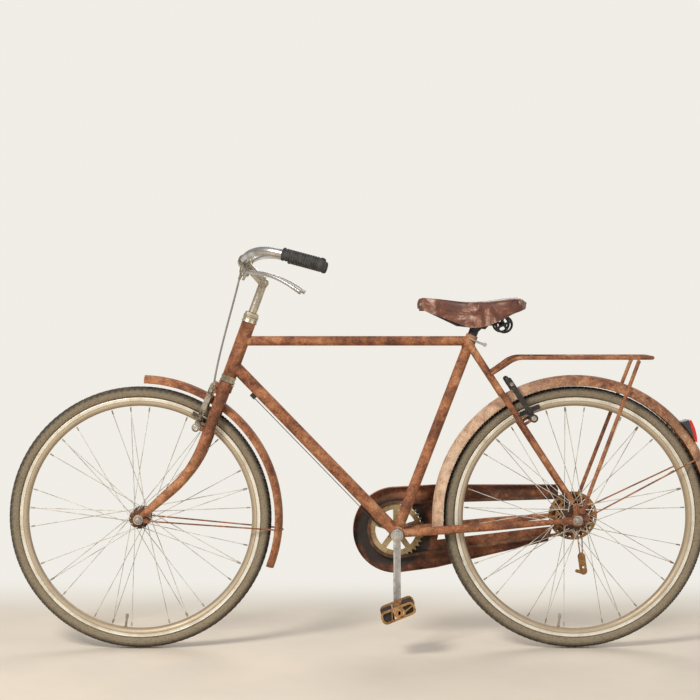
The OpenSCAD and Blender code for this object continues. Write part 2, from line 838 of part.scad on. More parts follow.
locknut_d = 17;
axle_nut_h = 9;
rear_shell_y = rear_hub_w / 2 - 4.5;    // where the rear hub ends and its locknuts begin
front_shell_y = front_hub_w / 2 - 5.5;  // the same for the front hub

// An axle along Y through p: rod, locknuts inside the dropouts and hexagon nuts outside.
module axle(p, d, hub_w, shell_y, nut_d) {
  out = hub_w / 2 + dropout_t;
  union() {
    rod(lift(p, -out - axle_nut_h - 5), lift(p, out + axle_nut_h + 5), d);
    both_sides() {
      rod(lift(p, shell_y + 0.3), lift(p, hub_w / 2 - seat_gap), locknut_d);
      rod(lift(p, out + seat_gap), lift(p, out + 2), nut_d + 5);
      translate(lift(p, out + 2)) rotate([-90, 0, 0])
        cylinder(h = axle_nut_h, d = nut_d / cos(30), $fn = 6);
    }
  }
}

module rear_axle() {
  color(silver) to_rider() axle(rear, rear_axle_d, rear_hub_w, rear_shell_y, 15);
}

module front_axle() {
  color(silver) to_rider() axle(front, front_axle_d, front_hub_w, front_shell_y, 14);
}

// What is left of the derailleur: a hanger, two wires and the rusty cage plate.
module rear_derailleur() {
  y = rear_hub_w / 2 + dropout_t + seat_gap;
  hanger = rear + [10, -34];
  cage = rear + [28, -122];
  color(dark_rust) to_rider() difference() {
    union() {
      slab(y, 4) {
        bar2d(rear + [12, -16], hanger, 14);
        translate(hanger) circle(r = 11);
      }
      bent_rod([lift(hanger, y + 2), lift(hanger + [8, -24], y - 6), lift(cage + [-3, 6], y - 10)], 3.4);
      bent_rod([lift(hanger + [4, 0], y + 2), lift(hanger + [20, -22], y - 4),
                lift(cage + [3, 9], y - 10)], 3.4);
      slab(y - 12, 3) {
        bar2d(cage + [0, 8], cage + [6, -32], 20);
        bar2d(cage + [4, -36], cage + [-12, -32], 9);
      }
      rod(lift(cage + [0, 6], y - 13), lift(cage + [0, 6], y - 5), 14);
    }
    translate(lift(cage + [5, -22], y)) rotate([90, 0, 0]) cylinder(h = 40, d = 6, center = true);
    rod(lift(rear, y - 1), lift(rear, y + 8), 15 + 6);
  }
}

cable_d = 2;
sleeve_d = 5;

// Gear cable under the down tube, from its stop near the head to the bracket shell.
module gear_cable() {
  a = head_at(down_tube_z);
  l = norm(bb - a);
  u = (bb - a) / l;
  n = [u.y, -u.x];
  stop = a + u * 96 + n * (-down_d / 2);
  side = a + u * 96 - n * (down_d / 2);
  under = (stop.y < side.y) ? -1 : 1;
  function at(s, off) = a + u * s + under * n * (down_d / 2 + off);
  color(black) to_rider() union() {
    difference() {
      rod(lift(at(88, 4)), lift(at(104, 4)), 12);
      rod(lift(a), lift(bb), down_d + 2 * seat_gap);
    }
    rod(lift(at(100, 6)), lift(at(l - 100, 6)), cable_d);
    rod(lift(at(l - 102, 6)), lift(at(l - 40, 4)), sleeve_d);
    difference() {
      rod(lift(at(l - 44, -2)), lift(at(l - 44, 5)), 7);
      rod(lift(a), lift(bb), down_d + 2 * seat_gap);
    }
  }
}

/* ---- fork and headset ---- */

crown_top = cup_low_h + 2 * seat_gap + 0.2;
steerer_top = head_tube_l + cup_high_h + 14;
quill_d = 22.2;

module fork_crown() {
  color(rust) to_rider() {
    difference() {
      union() {
        on_head(-crown_top - crown_h) {
          translate([-14, -blade_y, 0]) cube([28, 2 * blade_y, crown_h]);
          cylinder(h = crown_h, d = head_d + 2);
          for (k = [-1, 1]) translate([0, k * blade_y, 0]) cylinder(h = crown_h, d = blade_top_d + 5);
        }
        on_head(-crown_top - 2) cylinder(h = crown_top + steerer_top + 2, d = steerer_d);
      }
      on_head(-crown_top + 2) cylinder(h = crown_top + steerer_top, d = quill_d + 2 * seat_gap);
      both_sides() blade_shape(weld_gap);
    }
  }
}

// A blade starts inside the crown, runs down the steering axis, bends forward and ends
// beside the axle. Its own plane leans out from the crown to the dropout.
blade_s = -crown_top - crown_h + 12;
blade_root = head_foot + along(head_angle, blade_s);
blade_drop = (blade_root - front) * along(head_angle, 1);
blade_end_y = front_hub_w / 2 + dropout_t / 2;
splay = asin((blade_end_y - blade_y) / blade_drop);
blade_low_l = (rake - fork_bend_r * (1 - cos(fork_bend_a))) / sin(fork_bend_a);
blade_top_l = blade_drop / cos(splay) - fork_bend_r * sin(fork_bend_a)
  - blade_low_l * cos(fork_bend_a);
blade_cut = 11.5;

module blade_shape(grow = 0) {
  g = 2 * grow;
  e = [-fork_bend_r * (1 - cos(fork_bend_a)), 0, -blade_top_l - fork_bend_r * sin(fork_bend_a)];
  translate(lift(blade_root, blade_y)) rotate([0, 90 - head_angle, 0]) rotate([splay, 0, 0]) {
    rod([0, 0, 0], [0, 0, -blade_top_l], blade_top_d + g, blade_mid_d + g);
    translate([-fork_bend_r, 0, -blade_top_l]) rotate([-90, 0, 0])
      rotate_extrude(angle = fork_bend_a) translate([fork_bend_r, 0]) circle(d = blade_mid_d + g);
    translate(e) sphere(d = ball_grow * blade_mid_d + g);
    rod(e, e - (blade_low_l - blade_cut) * [sin(fork_bend_a), 0, cos(fork_bend_a)],
        blade_mid_d + g, blade_low_d + g);
  }
}

// The front brake turns on a stud that stands off the front of the blade.
front_line = head_foot + along(head_angle + 90, brake_off);
front_pivot_t = share_at_r(front_line, front_line + along(head_angle, -400), front, brake_pivot_r);
front_pivot_s = -400 * front_pivot_t;
front_pivot_y = blade_y + (blade_s - front_pivot_s) * tan(splay);
front_pivot_root = lift(head_foot + along(head_angle, front_pivot_s), front_pivot_y);
front_pivot = front_pivot_root + brake_off * lift(along(head_angle + 90, 1));

module fork_blade() {
  difference() {
    union() {
      blade_shape();
      slab(front_hub_w / 2, dropout_t) {
        translate(front) circle(r = 14);
        translate(front_eye) circle(r = 6.5);
        bar2d(front, front + along(fork_low_a, 16), 14);
      }
      rod(front_pivot_root, front_pivot, stud_d);
    }
    on_axle(front, 0) mirror([0, 0, 1]) cylinder(h = front_hub_w, d = front_axle_d + 2 * seat_gap);
  }
}
fork_low_a = head_angle - fork_bend_a;

module fork_blade_right() {
  color(rust) to_rider() fork_blade();
}

module fork_blade_left() {
  color(rust) to_rider() mirror([0, 1, 0]) fork_blade();
}

module headset_locknut() {
  color("#a59a7a") to_rider() on_head(head_tube_l + cup_high_h + 2 * seat_gap + 0.2) difference() {
    union() {
      cylinder(h = 4, d = head_d - 1);
      translate([0, 0, 4]) cylinder(h = 8, d = head_d, $fn = 8);
    }
    translate([0, 0, -1]) cylinder(h = 14, d = steerer_d + 2 * seat_gap);
  }
}

/* ---- stem, handlebar and levers ---- */

clamp_c = [-bar_x, bar_z];
quill_top = head_at(968);
clamp_l = 42;

module stem() {
  color(silver) to_rider() difference() {
    union() {
      rod(lift(head_foot + along(head_angle, head_tube_l - 60)), lift(quill_top), quill_d);
      translate(lift(quill_top)) sphere(d = quill_d + 6);
      rod(lift(quill_top), lift(clamp_c), quill_d + 3, quill_d);
      on_axle(clamp_c, clamp_l / 2) cylinder(h = clamp_l, d = bar_mid_d + 9);
      translate(lift(clamp_c + [-4, -22], -9)) cube([14, 18, 14]);
    }
    on_axle(clamp_c, clamp_l) cylinder(h = 2 * clamp_l, d = bar_mid_d + 2 * seat_gap);
  }
}

// Middle line of the right half of the handlebar, from its first bend to the open end.
grip_off = 13;
grip_turn = [0.94, 0.227, -0.254];
bar_pts = [
  [-bar_x, 64, bar_z], [-bar_x + 8, 112, bar_z + 9], [-bar_x + 22, 156, bar_z + 18],
  [-bar_x + 38, 190, bar_z + 23], [-bar_x + 56, 213, bar_z + 25], [-bar_x + 76, 228, bar_z + 24],
  [-bar_x + 98, 237, bar_z + 20], [-bar_x + 98, 237, bar_z + 20] + (grip_off + grip_l - 6) * grip_turn
];
grip_root = bar_pts[len(bar_pts) - 2];
grip_dir = (bar_pts[len(bar_pts) - 1] - grip_root) / norm(bar_pts[len(bar_pts) - 1] - grip_root);

module handlebar() {
  color(silver) to_rider() union() {
    bent_rod(across(bar_pts), bar_d);
    rod([-bar_x, -clamp_l / 2 - 6, bar_z], [-bar_x, clamp_l / 2 + 6, bar_z], bar_mid_d);
  }
}

module grip() {
  a = grip_root + grip_off * grip_dir;
  difference() {
    union() {
      rod(a, a + grip_l * grip_dir, grip_d - 2);
      rod(a, a + 6 * grip_dir, grip_d);
      rod(a + (grip_l - 8) * grip_dir, a + grip_l * grip_dir, grip_d + 2);
    }
    rod(a - grip_dir, a + (grip_l - 5.5) * grip_dir, bar_d + 2 * seat_gap);
  }
}

module grip_right() {
  color(black) to_rider() grip();
}

module grip_left() {
  color(black) to_rider() mirror([0, 1, 0]) grip();
}

// Brake lever: clamp round the bar, bracket below it and a long blade under the grip.
lever_at = 0.35;
lever_c = mix(bar_pts[0], bar_pts[1], lever_at);
lever_u = (bar_pts[1] - bar_pts[0]) / norm(bar_pts[1] - bar_pts[0]);
lever_pivot = lever_c + [-4, 14, -30];
lever_line = [[0, 0, 0], [40, 42, -2], [76, 72, -8], [116, 97, -27], [154, 118, -52]];

module brake_lever() {
  difference() {
    union() {
      rod(lever_c - 9 * lever_u, lever_c + 9 * lever_u, bar_d + 8);
      rod(lever_c + [0, 4, -6], lever_pivot + [0, 0, -9], 18);
      rod(lever_pivot, lever_pivot + [-8, -12, -18], 9);
      bent_rod([for (v = lever_line) lever_pivot + v], 11);
      translate(lever_pivot + lever_line[4]) turn_to(lever_line[4] - lever_line[3]) sphere(d = 14);
    }
    rod(mix(bar_pts[0], bar_pts[1], -0.1), mix(bar_pts[0], bar_pts[1], 0.9), bar_d + 2 * seat_gap);
  }
}

module brake_lever_right() {
  color(silver) to_rider() brake_lever();
}

module brake_lever_left() {
  color(silver) to_rider() mirror([0, 1, 0]) brake_lever();
}

/* ---- front brake ---- */

front_arm_a = head_angle - 2;
front_arm_tip = [front_pivot.x, front_pivot.z] + along(front_arm_a, brake_arm_l);

module front_brake() {
  color(silver) to_rider() {
    both_sides() difference() {
      brake_arm(front_pivot, front_arm_a, front)
        rod(front_pivot_root, front_pivot_root + 1.3 * (front_pivot - front_pivot_root), stud_d + 2 * seat_gap);
      blade_shape(weld_gap);
      brake_wire(front_arm_tip, front_pivot.y + 9);
    }
    brake_wire(front_arm_tip, front_pivot.y + 8);
  }
}

// The housing of the front brake cable, from the left lever down to the left brake arm.
cable_start = [lever_pivot.x, -lever_pivot.y, lever_pivot.z] + [-8, 12, -18] * 1.05;
cable_end = lift(front_arm_tip + along(front_arm_a, 8), -front_pivot.y);
cable_lean = [-14, 10, -60];
function cable_at(t) =
  let (b = cable_start + cable_lean, c = cable_end + [16, -14, 90], u = 1 - t)
  u * u * u * cable_start + 3 * u * u * t * b + 3 * u * t * t * c + t * t * t * cable_end;

module front_brake_cable() {
  n = 12;
  color("#8a8578") to_rider()
    bent_rod([for (i = [0 : n]) cable_at(i / n)], sleeve_d);
}

/* ---- wheels ---- */

flange_t = 3;
front_flange_y = front_hub_w / 2 - 17;
rear_flange_left = -(rear_hub_w / 2 - 29);
rear_flange_right = rear_hub_w / 2 - 43;

module tyre(p) {
  on_axle(p) rotate_extrude() difference() {
    union() {
      translate([wheel_r - tyre_w / 2, 0]) circle(d = tyre_w);
      translate([rim_r + seat_gap, -rim_w / 2]) square([tyre_h / 2, rim_w]);
    }
    translate([rim_r - tyre_w, -tyre_w]) square([tyre_w + seat_gap, 2 * tyre_w]);
  }
}

module front_tyre() {
  color(tyre_grey) to_rider() tyre(front);
}

module rear_tyre() {
  color(tyre_grey) to_rider() tyre(rear);
}

// Box-section rim with two upright edges that hold the tyre's beads.
module rim(p) {
  w = rim_w / 2;
  color("#cfc6ae") to_rider() on_axle(p) rotate_extrude() polygon([
    [rim_r, -w], [rim_r, -w + rim_wall], [rim_r - 9, -w + rim_wall], [rim_r - 12, -4],
    [rim_r - 12, 4], [rim_r - 9, w - rim_wall], [rim_r, w - rim_wall], [rim_r, w],
    [rim_r - 13, w], [rim_in_r, w - 5], [rim_in_r, -w + 5], [rim_r - 13, -w]
  ]);
}

module front_rim() {
  rim(front);
}

module rear_rim() {
  rim(rear);
}

// Spokes laced over three others. Each leaves the side of its flange at a tangent.
module lacing(p, hole_r, y_left, y_right) {
  half = spokes / 2;
  off = flange_t / 2 + spoke_d / 2 + weld_gap;
  for (side = [0, 1]) for (i = [0 : half - 1]) {
    lead = (i % 2 == 0) ? 1 : -1;
    a = 360 * (i + side / 2) / half;
    a_rim = a + lead * (3 * 360 / half - 360 / half / 4);
    y = (side == 0 ? y_left : y_right) + lead * off;
    rod(lift(p + along(a, hole_r), y), lift(p + along(a_rim, rim_in_r - 0.2), side == 0 ? -3 : 3),
        spoke_d);
  }
}

module front_spokes() {
  color(silver) to_rider() lacing(front, front_hole_r, -front_flange_y, front_flange_y);
}

module rear_spokes() {
  color(silver) to_rider() lacing(rear, rear_hole_r, rear_flange_left, rear_flange_right);
}

// A flanged hub shell from y0 to y1 with flanges at f0 and f1 and a bore for the axle.
module hub(p, y0, y1, f0, f1, hole_r, barrel_d, end_d, bore_d) {
  difference() {
    union() {
      rod(lift(p, f0), lift(p, f1), barrel_d);
      rod(lift(p, y0), lift(p, y1), end_d);
      for (f = [f0, f1])
        rod(lift(p, f - flange_t / 2), lift(p, f + flange_t / 2), 2 * hole_r + 9);
    }
    rod(lift(p, y0 - 1), lift(p, y1 + 1), bore_d + 2 * run_gap);
  }
}

module front_hub() {
  color(dark_rust) to_rider()
    hub(front, -front_shell_y, front_shell_y, -front_flange_y, front_flange_y,
        front_hole_r, 30, 20, front_axle_d);
}

cog_list = [30, 27, cog_teeth, 20];
cog_gap = 5;
freewheel_bore = 34;

module rear_hub() {
  color(dark_rust) to_rider() union() {
    hub(rear, -rear_shell_y, rear_shell_y, rear_flange_left, rear_flange_right,
        rear_hole_r, 38, 22, rear_axle_d);
    difference() {
      rod(lift(rear, rear_flange_right), lift(rear, rear_flange_right + 14), freewheel_bore);
      rod(lift(rear, 0), lift(rear, rear_hub_w / 2), 21);
    }
  }
}

module freewheel() {
  y0 = rear_flange_right + flange_t / 2 + spoke_d + 4;
  y1 = chain_line + cog_gap + 1.5;
  color(dark_rust) to_rider() difference() {
    union() {
      rod(lift(rear, y0), lift(rear, y1), 46);
      for (i = [0 : len(cog_list) - 1])
        slab(chain_line + (i - 2) * cog_gap - 1, 2) translate(rear) sprocket2d(cog_list[i]);
    }
    rod(lift(rear, y0 - 1), lift(rear, y1 + 1), freewheel_bore + 2 * seat_gap);
  }
}

/* ---- cranks and pedal ---- */

ring_t = 2.4;
ring_in_r = 55;
crank_t = 12;
crank_gap = 6;
boss_d = 34;
crank_root_y = -(bb_w / 2 + cup_l + crank_gap);      // inner face of the crank's boss
crank_end = bb - [0, crank_l];
crank_lean = 4;
eye_y = crank_root_y - crank_l * sin(crank_lean) - 2; // inner face of the pedal's eye
pedal_bolt_d = 12;
pedal_y = eye_y - 16 - 5;
pedal_w = 92;

module chainring() {
  boss_in = bb_w / 2 + cup_l + 2;
  boss_out = guard_y - 2.5;
  color("#a89c80") to_rider() difference() {
    union() {
      slab(chain_line - ring_t / 2, ring_t) {
        difference() {
          translate(bb) sprocket2d(ring_teeth);
          translate(bb) circle(r = ring_in_r);
        }
        for (i = [0 : 4]) bar2d(bb, bb + along(90 + 72 * i, ring_in_r + 4), 15);
      }
      rod(lift(bb, boss_in), lift(bb, boss_out), boss_d);
    }
    rod(lift(bb, 0), lift(bb, boss_out + 1), spindle_d + 2 * seat_gap);
  }
}

module crank_left() {
  color(silver) to_rider() union() {
    rod(lift(bb, crank_root_y - 4), lift(bb, guard_y + 1), spindle_d);
    rod(lift(bb, crank_root_y), lift(bb, crank_root_y - 20), boss_d);
    rod(lift(bb, crank_root_y - 19), lift(bb, crank_root_y - 24), 22);
    translate(lift(bb, crank_root_y - crank_t - 2)) rotate([-crank_lean, 0, 0])
      translate([0, 0, -crank_l]) rotate([-90, 0, 0]) linear_extrude(crank_t)
        polygon([[-10, 0], [10, 0], [13, -crank_l], [-13, -crank_l]]);
    rod(lift(crank_end, eye_y), lift(crank_end, eye_y - 16), 26);
    rod(lift(crank_end, eye_y - 15), lift(crank_end, pedal_y - pedal_w + 3), pedal_bolt_d);
  }
}

// Cage pedal: a tube on the bolt, two pierced plates and two ribbed blocks.
module pedal_left() {
  l = 92;
  h = 34;
  plate_t = 4;
  bore = pedal_bolt_d + 2 * run_gap;
  color("#7a4a20") to_rider() translate(lift(crank_end, pedal_y)) rotate([0, -pedal_tilt, 0])
    rotate([90, 0, 0]) difference() {
      union() {
        cylinder(h = pedal_w, d = 24);
        for (z = [0, pedal_w - plate_t]) translate([0, 0, z]) linear_extrude(plate_t) pedal_plate(l, h);
        for (k = [-1, 1]) translate([k * (l / 2 - 15) - 12, -h / 2 + 3, plate_t - 0.5])
          cube([24, h - 6, pedal_w - 2 * plate_t + 1]);
      }
      translate([0, 0, -1]) cylinder(h = pedal_w - 1, d = bore);
    }
}

module pedal_plate(l, h) {
  difference() {
    union() {
      translate([-l / 2 + 10, -h / 2]) square([l - 20, h]);
      for (k = [-1, 1]) translate([k * (l / 2 - 16), 0]) circle(r = 16);
    }
    for (k = [-1, 1], m = [-1, 1]) translate([k * 18, m * h / 2]) circle(r = 6);
  }
}

head_tube();
top_tube();
down_tube();
seat_tube();
bottom_bracket();
chain_stay_left();
chain_stay_right();
seat_stay_left();
seat_stay_right();
frame_bridges();
headset_cups();
seat_post();
saddle();
saddle_frame();
saddle_springs();
rear_fender();
rear_fender_stays();
rear_rack();
rack_legs();
rear_brake();
rear_light();
rear_light_lens();
chain_case();
chain();
rear_derailleur();
rear_axle();
gear_cable();
fork_crown();
fork_blade_left();
fork_blade_right();
headset_locknut();
stem();
handlebar();
grip_left();
grip_right();
brake_lever_left();
brake_lever_right();
front_brake();
front_brake_cable();
front_fender();
front_fender_stays();
front_axle();
front_tyre();
front_rim();
front_spokes();
front_hub();
rear_tyre();
rear_rim();
rear_spokes();
rear_hub();
freewheel();
crank_left();
chainring();
pedal_left();
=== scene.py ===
import math

import bpy
from mathutils import Matrix, Vector


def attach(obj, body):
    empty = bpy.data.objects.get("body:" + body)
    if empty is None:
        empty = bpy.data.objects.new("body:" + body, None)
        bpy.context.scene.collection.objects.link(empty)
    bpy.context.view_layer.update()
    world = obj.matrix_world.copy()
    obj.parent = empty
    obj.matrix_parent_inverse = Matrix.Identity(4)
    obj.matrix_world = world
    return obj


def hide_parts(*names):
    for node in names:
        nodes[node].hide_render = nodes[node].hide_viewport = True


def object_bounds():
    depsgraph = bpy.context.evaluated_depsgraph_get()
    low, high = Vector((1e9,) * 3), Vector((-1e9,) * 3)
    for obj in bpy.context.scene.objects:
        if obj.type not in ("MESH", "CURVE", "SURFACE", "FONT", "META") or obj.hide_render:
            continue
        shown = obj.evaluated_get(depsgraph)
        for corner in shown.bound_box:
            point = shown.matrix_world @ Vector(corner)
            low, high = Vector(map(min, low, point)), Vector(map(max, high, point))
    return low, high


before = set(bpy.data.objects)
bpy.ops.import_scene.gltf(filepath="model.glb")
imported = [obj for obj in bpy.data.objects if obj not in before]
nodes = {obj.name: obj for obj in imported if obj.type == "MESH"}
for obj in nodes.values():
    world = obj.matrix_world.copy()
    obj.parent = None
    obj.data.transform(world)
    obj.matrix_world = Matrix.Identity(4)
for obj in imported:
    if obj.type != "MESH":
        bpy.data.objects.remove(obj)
cadLow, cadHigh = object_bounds()
scene = bpy.context.scene
print("frame loaded with", len(nodes), "nodes")

cameraPlace = {"at": (-0.3716, -4.500, 0.020), "yaw": 0.158, "pitch": -1.937, "lens": 87.63}
yaw, pitch = math.radians(cameraPlace["yaw"]), math.radians(cameraPlace["pitch"])
lookAlong = Vector((math.sin(yaw) * math.cos(pitch), math.cos(yaw) * math.cos(pitch), math.sin(pitch)))
bpy.ops.object.camera_add(location=cameraPlace["at"])
camera = bpy.context.object
camera.name = "camera"
camera.rotation_mode = "QUATERNION"
camera.rotation_quaternion = lookAlong.to_track_quat("-Z", "Y")
camera.data.lens = cameraPlace["lens"]
camera.data.sensor_width = 36
camera.data.clip_end = 200
scene.camera = camera
scene.view_settings.view_transform = "Standard"


def softLamp(name, place, target, size, power, colour):
    bpy.ops.object.light_add(type="AREA", location=place)
    lamp = bpy.context.object
    lamp.name = name
    lamp.data.size = size
    lamp.data.energy = power
    lamp.data.color = colour
    lamp.rotation_mode = "QUATERNION"
    lamp.rotation_quaternion = (Vector(target) - Vector(place)).to_track_quat("-Z", "Y")


softLamp("keyLamp", (-2.4, -3.2, 2.3), (-0.3, 0, -0.4), 1.3, 185, (1.0, 0.97, 0.92))
softLamp("fillLamp", (2.8, -2.6, 0.6), (-0.2, 0, -0.4), 2.4, 40, (0.95, 0.97, 1.0))
softLamp("backLamp", (0.6, 3.2, 1.8), (-0.3, 0, -0.4), 2.4, 70, (1.0, 0.98, 0.95))

# The world lights the bicycle plainly, and is seen as a pale backdrop
studioShape = {"air": (0.93, 0.95, 1.0), "airStrength": 0.38, "wall": (0.87, 0.85, 0.79)}
world = scene.world or bpy.data.worlds.new("studio")
scene.world = world
world.use_nodes = True
worldNodes = world.node_tree.nodes
worldNodes.clear()
lightPath = worldNodes.new("ShaderNodeLightPath")
studioAir = worldNodes.new("ShaderNodeBackground")
studioAir.inputs["Color"].default_value = (*studioShape["air"], 1)
studioAir.inputs["Strength"].default_value = studioShape["airStrength"]
studioWall = worldNodes.new("ShaderNodeBackground")
studioWall.inputs["Color"].default_value = (*studioShape["wall"], 1)
studioWall.inputs["Strength"].default_value = 1.0
seenRays = worldNodes.new("ShaderNodeMath")
seenRays.operation = "MAXIMUM"
airMix = worldNodes.new("ShaderNodeMixShader")
worldOut = worldNodes.new("ShaderNodeOutputWorld")
worldLinks = world.node_tree.links
worldLinks.new(lightPath.outputs["Is Camera Ray"], seenRays.inputs[0])
worldLinks.new(lightPath.outputs["Is Transmission Ray"], seenRays.inputs[1])
worldLinks.new(seenRays.outputs[0], airMix.inputs[0])
worldLinks.new(studioAir.outputs[0], airMix.inputs[1])
worldLinks.new(studioWall.outputs[0], airMix.inputs[2])
worldLinks.new(airMix.outputs[0], worldOut.inputs[0])


# Small helpers for the materials
def addNode(tree, kind, **values):
    node = tree.nodes.new(kind)
    for key, value in values.items():
        if key in node.inputs:
            node.inputs[key].default_value = value
        else:
            setattr(node, key, value)
    return node


def noiseOf(tree, coords, scale, detail=4.0, rough=0.6, warp=0.0):
    node = addNode(tree, "ShaderNodeTexNoise", Scale=scale, Detail=detail, Roughness=rough, Distortion=warp)
    tree.links.new(coords, node.inputs["Vector"])
    return node.outputs[0]


def cellsOf(tree, coords, scale, feature="F1"):
    node = addNode(tree, "ShaderNodeTexVoronoi", feature=feature, Scale=scale)
    tree.links.new(coords, node.inputs["Vector"])
    return node.outputs["Distance"]


def calc(tree, operation, first, second=None, clamp=False):
    node = addNode(tree, "ShaderNodeMath", operation=operation, use_clamp=clamp)
    for socket, value in zip(node.inputs, (first, second)):
        if value is None:
            continue
        if isinstance(value, (int, float)):
            socket.default_value = value
        else:
            tree.links.new(value, socket)
    return node.outputs[0]


def rampOf(tree, value, stops):
    node = tree.nodes.new("ShaderNodeValToRGB")
    band = node.color_ramp
    while len(band.elements) < len(stops):
        band.elements.new(0.5)
    for element, (place, colour) in zip(band.elements, stops):
        element.position = place
        grey = isinstance(colour, (int, float))
        element.color = (colour, colour, colour, 1) if grey else (*colour, 1)
    tree.links.new(value, node.inputs[0])
    return node.outputs[0]


def weighed(tree, *parts):
    # adds up (value, weight) pairs
    total = None
    for value, weight in parts:
        part = calc(tree, "MULTIPLY", value, weight)
        total = part if total is None else calc(tree, "ADD", total, part)
    return total


def mixOf(tree, share, first, second):
    node = addNode(tree, "ShaderNodeMix", data_type="RGBA", blend_type="MIX")
    for socket, value in ((node.inputs[0], share), (node.inputs[6], first), (node.inputs[7], second)):
        if isinstance(value, (int, float)):
            socket.default_value = value
        elif isinstance(value, tuple):
            socket.default_value = (*value, 1)
        else:
            tree.links.new(value, socket)
    return node.outputs[2]


def bumpOn(tree, shader, height, strength, distance):
    node = addNode(tree, "ShaderNodeBump", Strength=strength, Distance=distance)
    tree.links.new(height, node.inputs["Height"])
    tree.links.new(node.outputs[0], shader.inputs["Normal"])


def axisOf(tree, coords, letter):
    axes = addNode(tree, "ShaderNodeSeparateXYZ")
    tree.links.new(coords, axes.inputs[0])
    return axes.outputs[letter]


def reachFrom(tree, coords, axle):
    # how far a point lies from an axle, in the plane of the wheel
    centred = addNode(tree, "ShaderNodeMapping")
    centred.inputs["Location"].default_value = (-axle[0], 0, -axle[2])
    tree.links.new(coords, centred.inputs["Vector"])
    flat = addNode(tree, "ShaderNodeVectorMath", operation="MULTIPLY")
    flat.inputs[1].default_value = (1, 0, 1)
    tree.links.new(centred.outputs[0], flat.inputs[0])
    reach = addNode(tree, "ShaderNodeVectorMath", operation="LENGTH")
    tree.links.new(flat.outputs[0], reach.inputs[0])
    return reach.outputs["Value"]


def shareOf(tree, value, low, high, start=0.0, end=1.0):
    node = addNode(tree, "ShaderNodeMapRange")
    for key, number in (("From Min", low), ("From Max", high), ("To Min", start), ("To Max", end)):
        node.inputs[key].default_value = number
    tree.links.new(value, node.inputs["Value"])
    return node.outputs[0]


def startMaterial(name, **sockets):
    material = bpy.data.materials.new(name)
    material.use_nodes = True
    tree = material.node_tree
    shader = tree.nodes["Principled BSDF"]
    for key, value in sockets.items():
        shader.inputs[key.replace("_", " ")].default_value = value
    coords = tree.nodes.new("ShaderNodeTexCoord").outputs["Object"]
    return material, tree, shader, coords


# Finishes
def paintedShadeMask(tree, coords, broad, centre):
    # painted shade on the inner face of the chain guard, inside its rusted rim
    deep = rampOf(tree, shareOf(tree, axisOf(tree, coords, "Y"), 0.050, 0.062),
                  [(0.50, 0.0), (0.62, 1.0), (0.84, 1.0), (0.88, 0.0)])
    wobble = calc(tree, "MULTIPLY", calc(tree, "SUBTRACT", broad, 0.5), 0.10)
    near = calc(tree, "ADD", reachFrom(tree, coords, centre), wobble)
    inside = rampOf(tree, shareOf(tree, near, 0.06, 0.26), [(0.17, 1.0), (0.22, 0.15), (0.60, 0.05)])
    return calc(tree, "MULTIPLY", deep, inside)


def rustFinish(name, tones, patch=0.5, rough=(0.62, 0.9), grain=1.0, paintedShadeRound=None, bleachTo=None):
    # tones run from dark brown through orange brown to the dusty pale coat
    material, tree, shader, coords = startMaterial(name)
    broad = noiseOf(tree, coords, 6.5, 5, 0.6, 0.4)
    mottle = noiseOf(tree, coords, 38 * grain, 9, 0.68)
    speck = noiseOf(tree, coords, 210 * grain, 5, 0.7)
    mixed = weighed(tree, (broad, 0.3), (mottle, 0.42), (speck, 0.28))
    colour = rampOf(tree, mixed, list(zip((0.40, 0.465, 0.525, 0.62), tones)))
    stain = rampOf(tree, noiseOf(tree, coords, 15, 7, 0.62, 0.8), [(0.49, 0.0), (0.58, 1.0)])
    colour = mixOf(tree, calc(tree, "MULTIPLY", stain, patch), colour, tones[0])
    pits = rampOf(tree, cellsOf(tree, coords, 330 * grain), [(0.0, 1.0), (0.32, 0.0)])
    pitMask = calc(tree, "MULTIPLY", pits, rampOf(tree, mottle, [(0.48, 0.0), (0.60, 1.0)]))
    colour = mixOf(tree, calc(tree, "MULTIPLY", pitMask, 0.7), colour, (0.045, 0.017, 0.010))
    if paintedShadeRound:
        # painted shade on the guard's inner face round the chainring
        colour = mixOf(tree, paintedShadeMask(tree, coords, broad, paintedShadeRound), colour, (0.026, 0.017, 0.013))
    if bleachTo:
        faded = calc(tree, "MULTIPLY", shareOf(tree, axisOf(tree, coords, "X"), 0.24, -0.04),
                     rampOf(tree, mixed, [(0.42, 0.25), (0.56, 0.85)]))
        colour = mixOf(tree, faded, colour, bleachTo)
    tree.links.new(colour, shader.inputs["Base Color"])
    tree.links.new(shareOf(tree, mottle, 0.35, 0.65, *rough), shader.inputs["Roughness"])
    height = calc(tree, "SUBTRACT", calc(tree, "ADD", mottle, speck), calc(tree, "MULTIPLY", pitMask, 0.8))
    bumpOn(tree, shader, height, 0.5, 0.0007)
    return material


def metalFinish(name, clean, rust, amount, rough=(0.25, 0.5), metallic=1.0, grain=1.0):
    material, tree, shader, coords = startMaterial(name)
    film = noiseOf(tree, coords, 22 * grain, 7, 0.6)
    speck = noiseOf(tree, coords, 240 * grain, 4, 0.7)
    spots = weighed(tree, (film, 0.55), (speck, 0.45))
    mask = rampOf(tree, spots, [(0.60 - 0.16 * amount, 0.0), (0.68 - 0.12 * amount, 1.0)])
    dull = mixOf(tree, rampOf(tree, film, [(0.40, 0.0), (0.62, 1.0)]), clean, tuple(0.62 * c for c in clean))
    tree.links.new(mixOf(tree, mask, dull, rust), shader.inputs["Base Color"])
    bare = calc(tree, "SUBTRACT", 1.0, mask)
    tree.links.new(calc(tree, "MULTIPLY", bare, metallic), shader.inputs["Metallic"])
    shine = calc(tree, "ADD", rough[0], calc(tree, "MULTIPLY", film, rough[1] - rough[0]))
    shine = calc(tree, "ADD", shine, calc(tree, "MULTIPLY", mask, 0.4), clamp=True)
    tree.links.new(shine, shader.inputs["Roughness"])
    bumpOn(tree, shader, calc(tree, "ADD", speck, mask), 0.25, 0.0004)
    return material


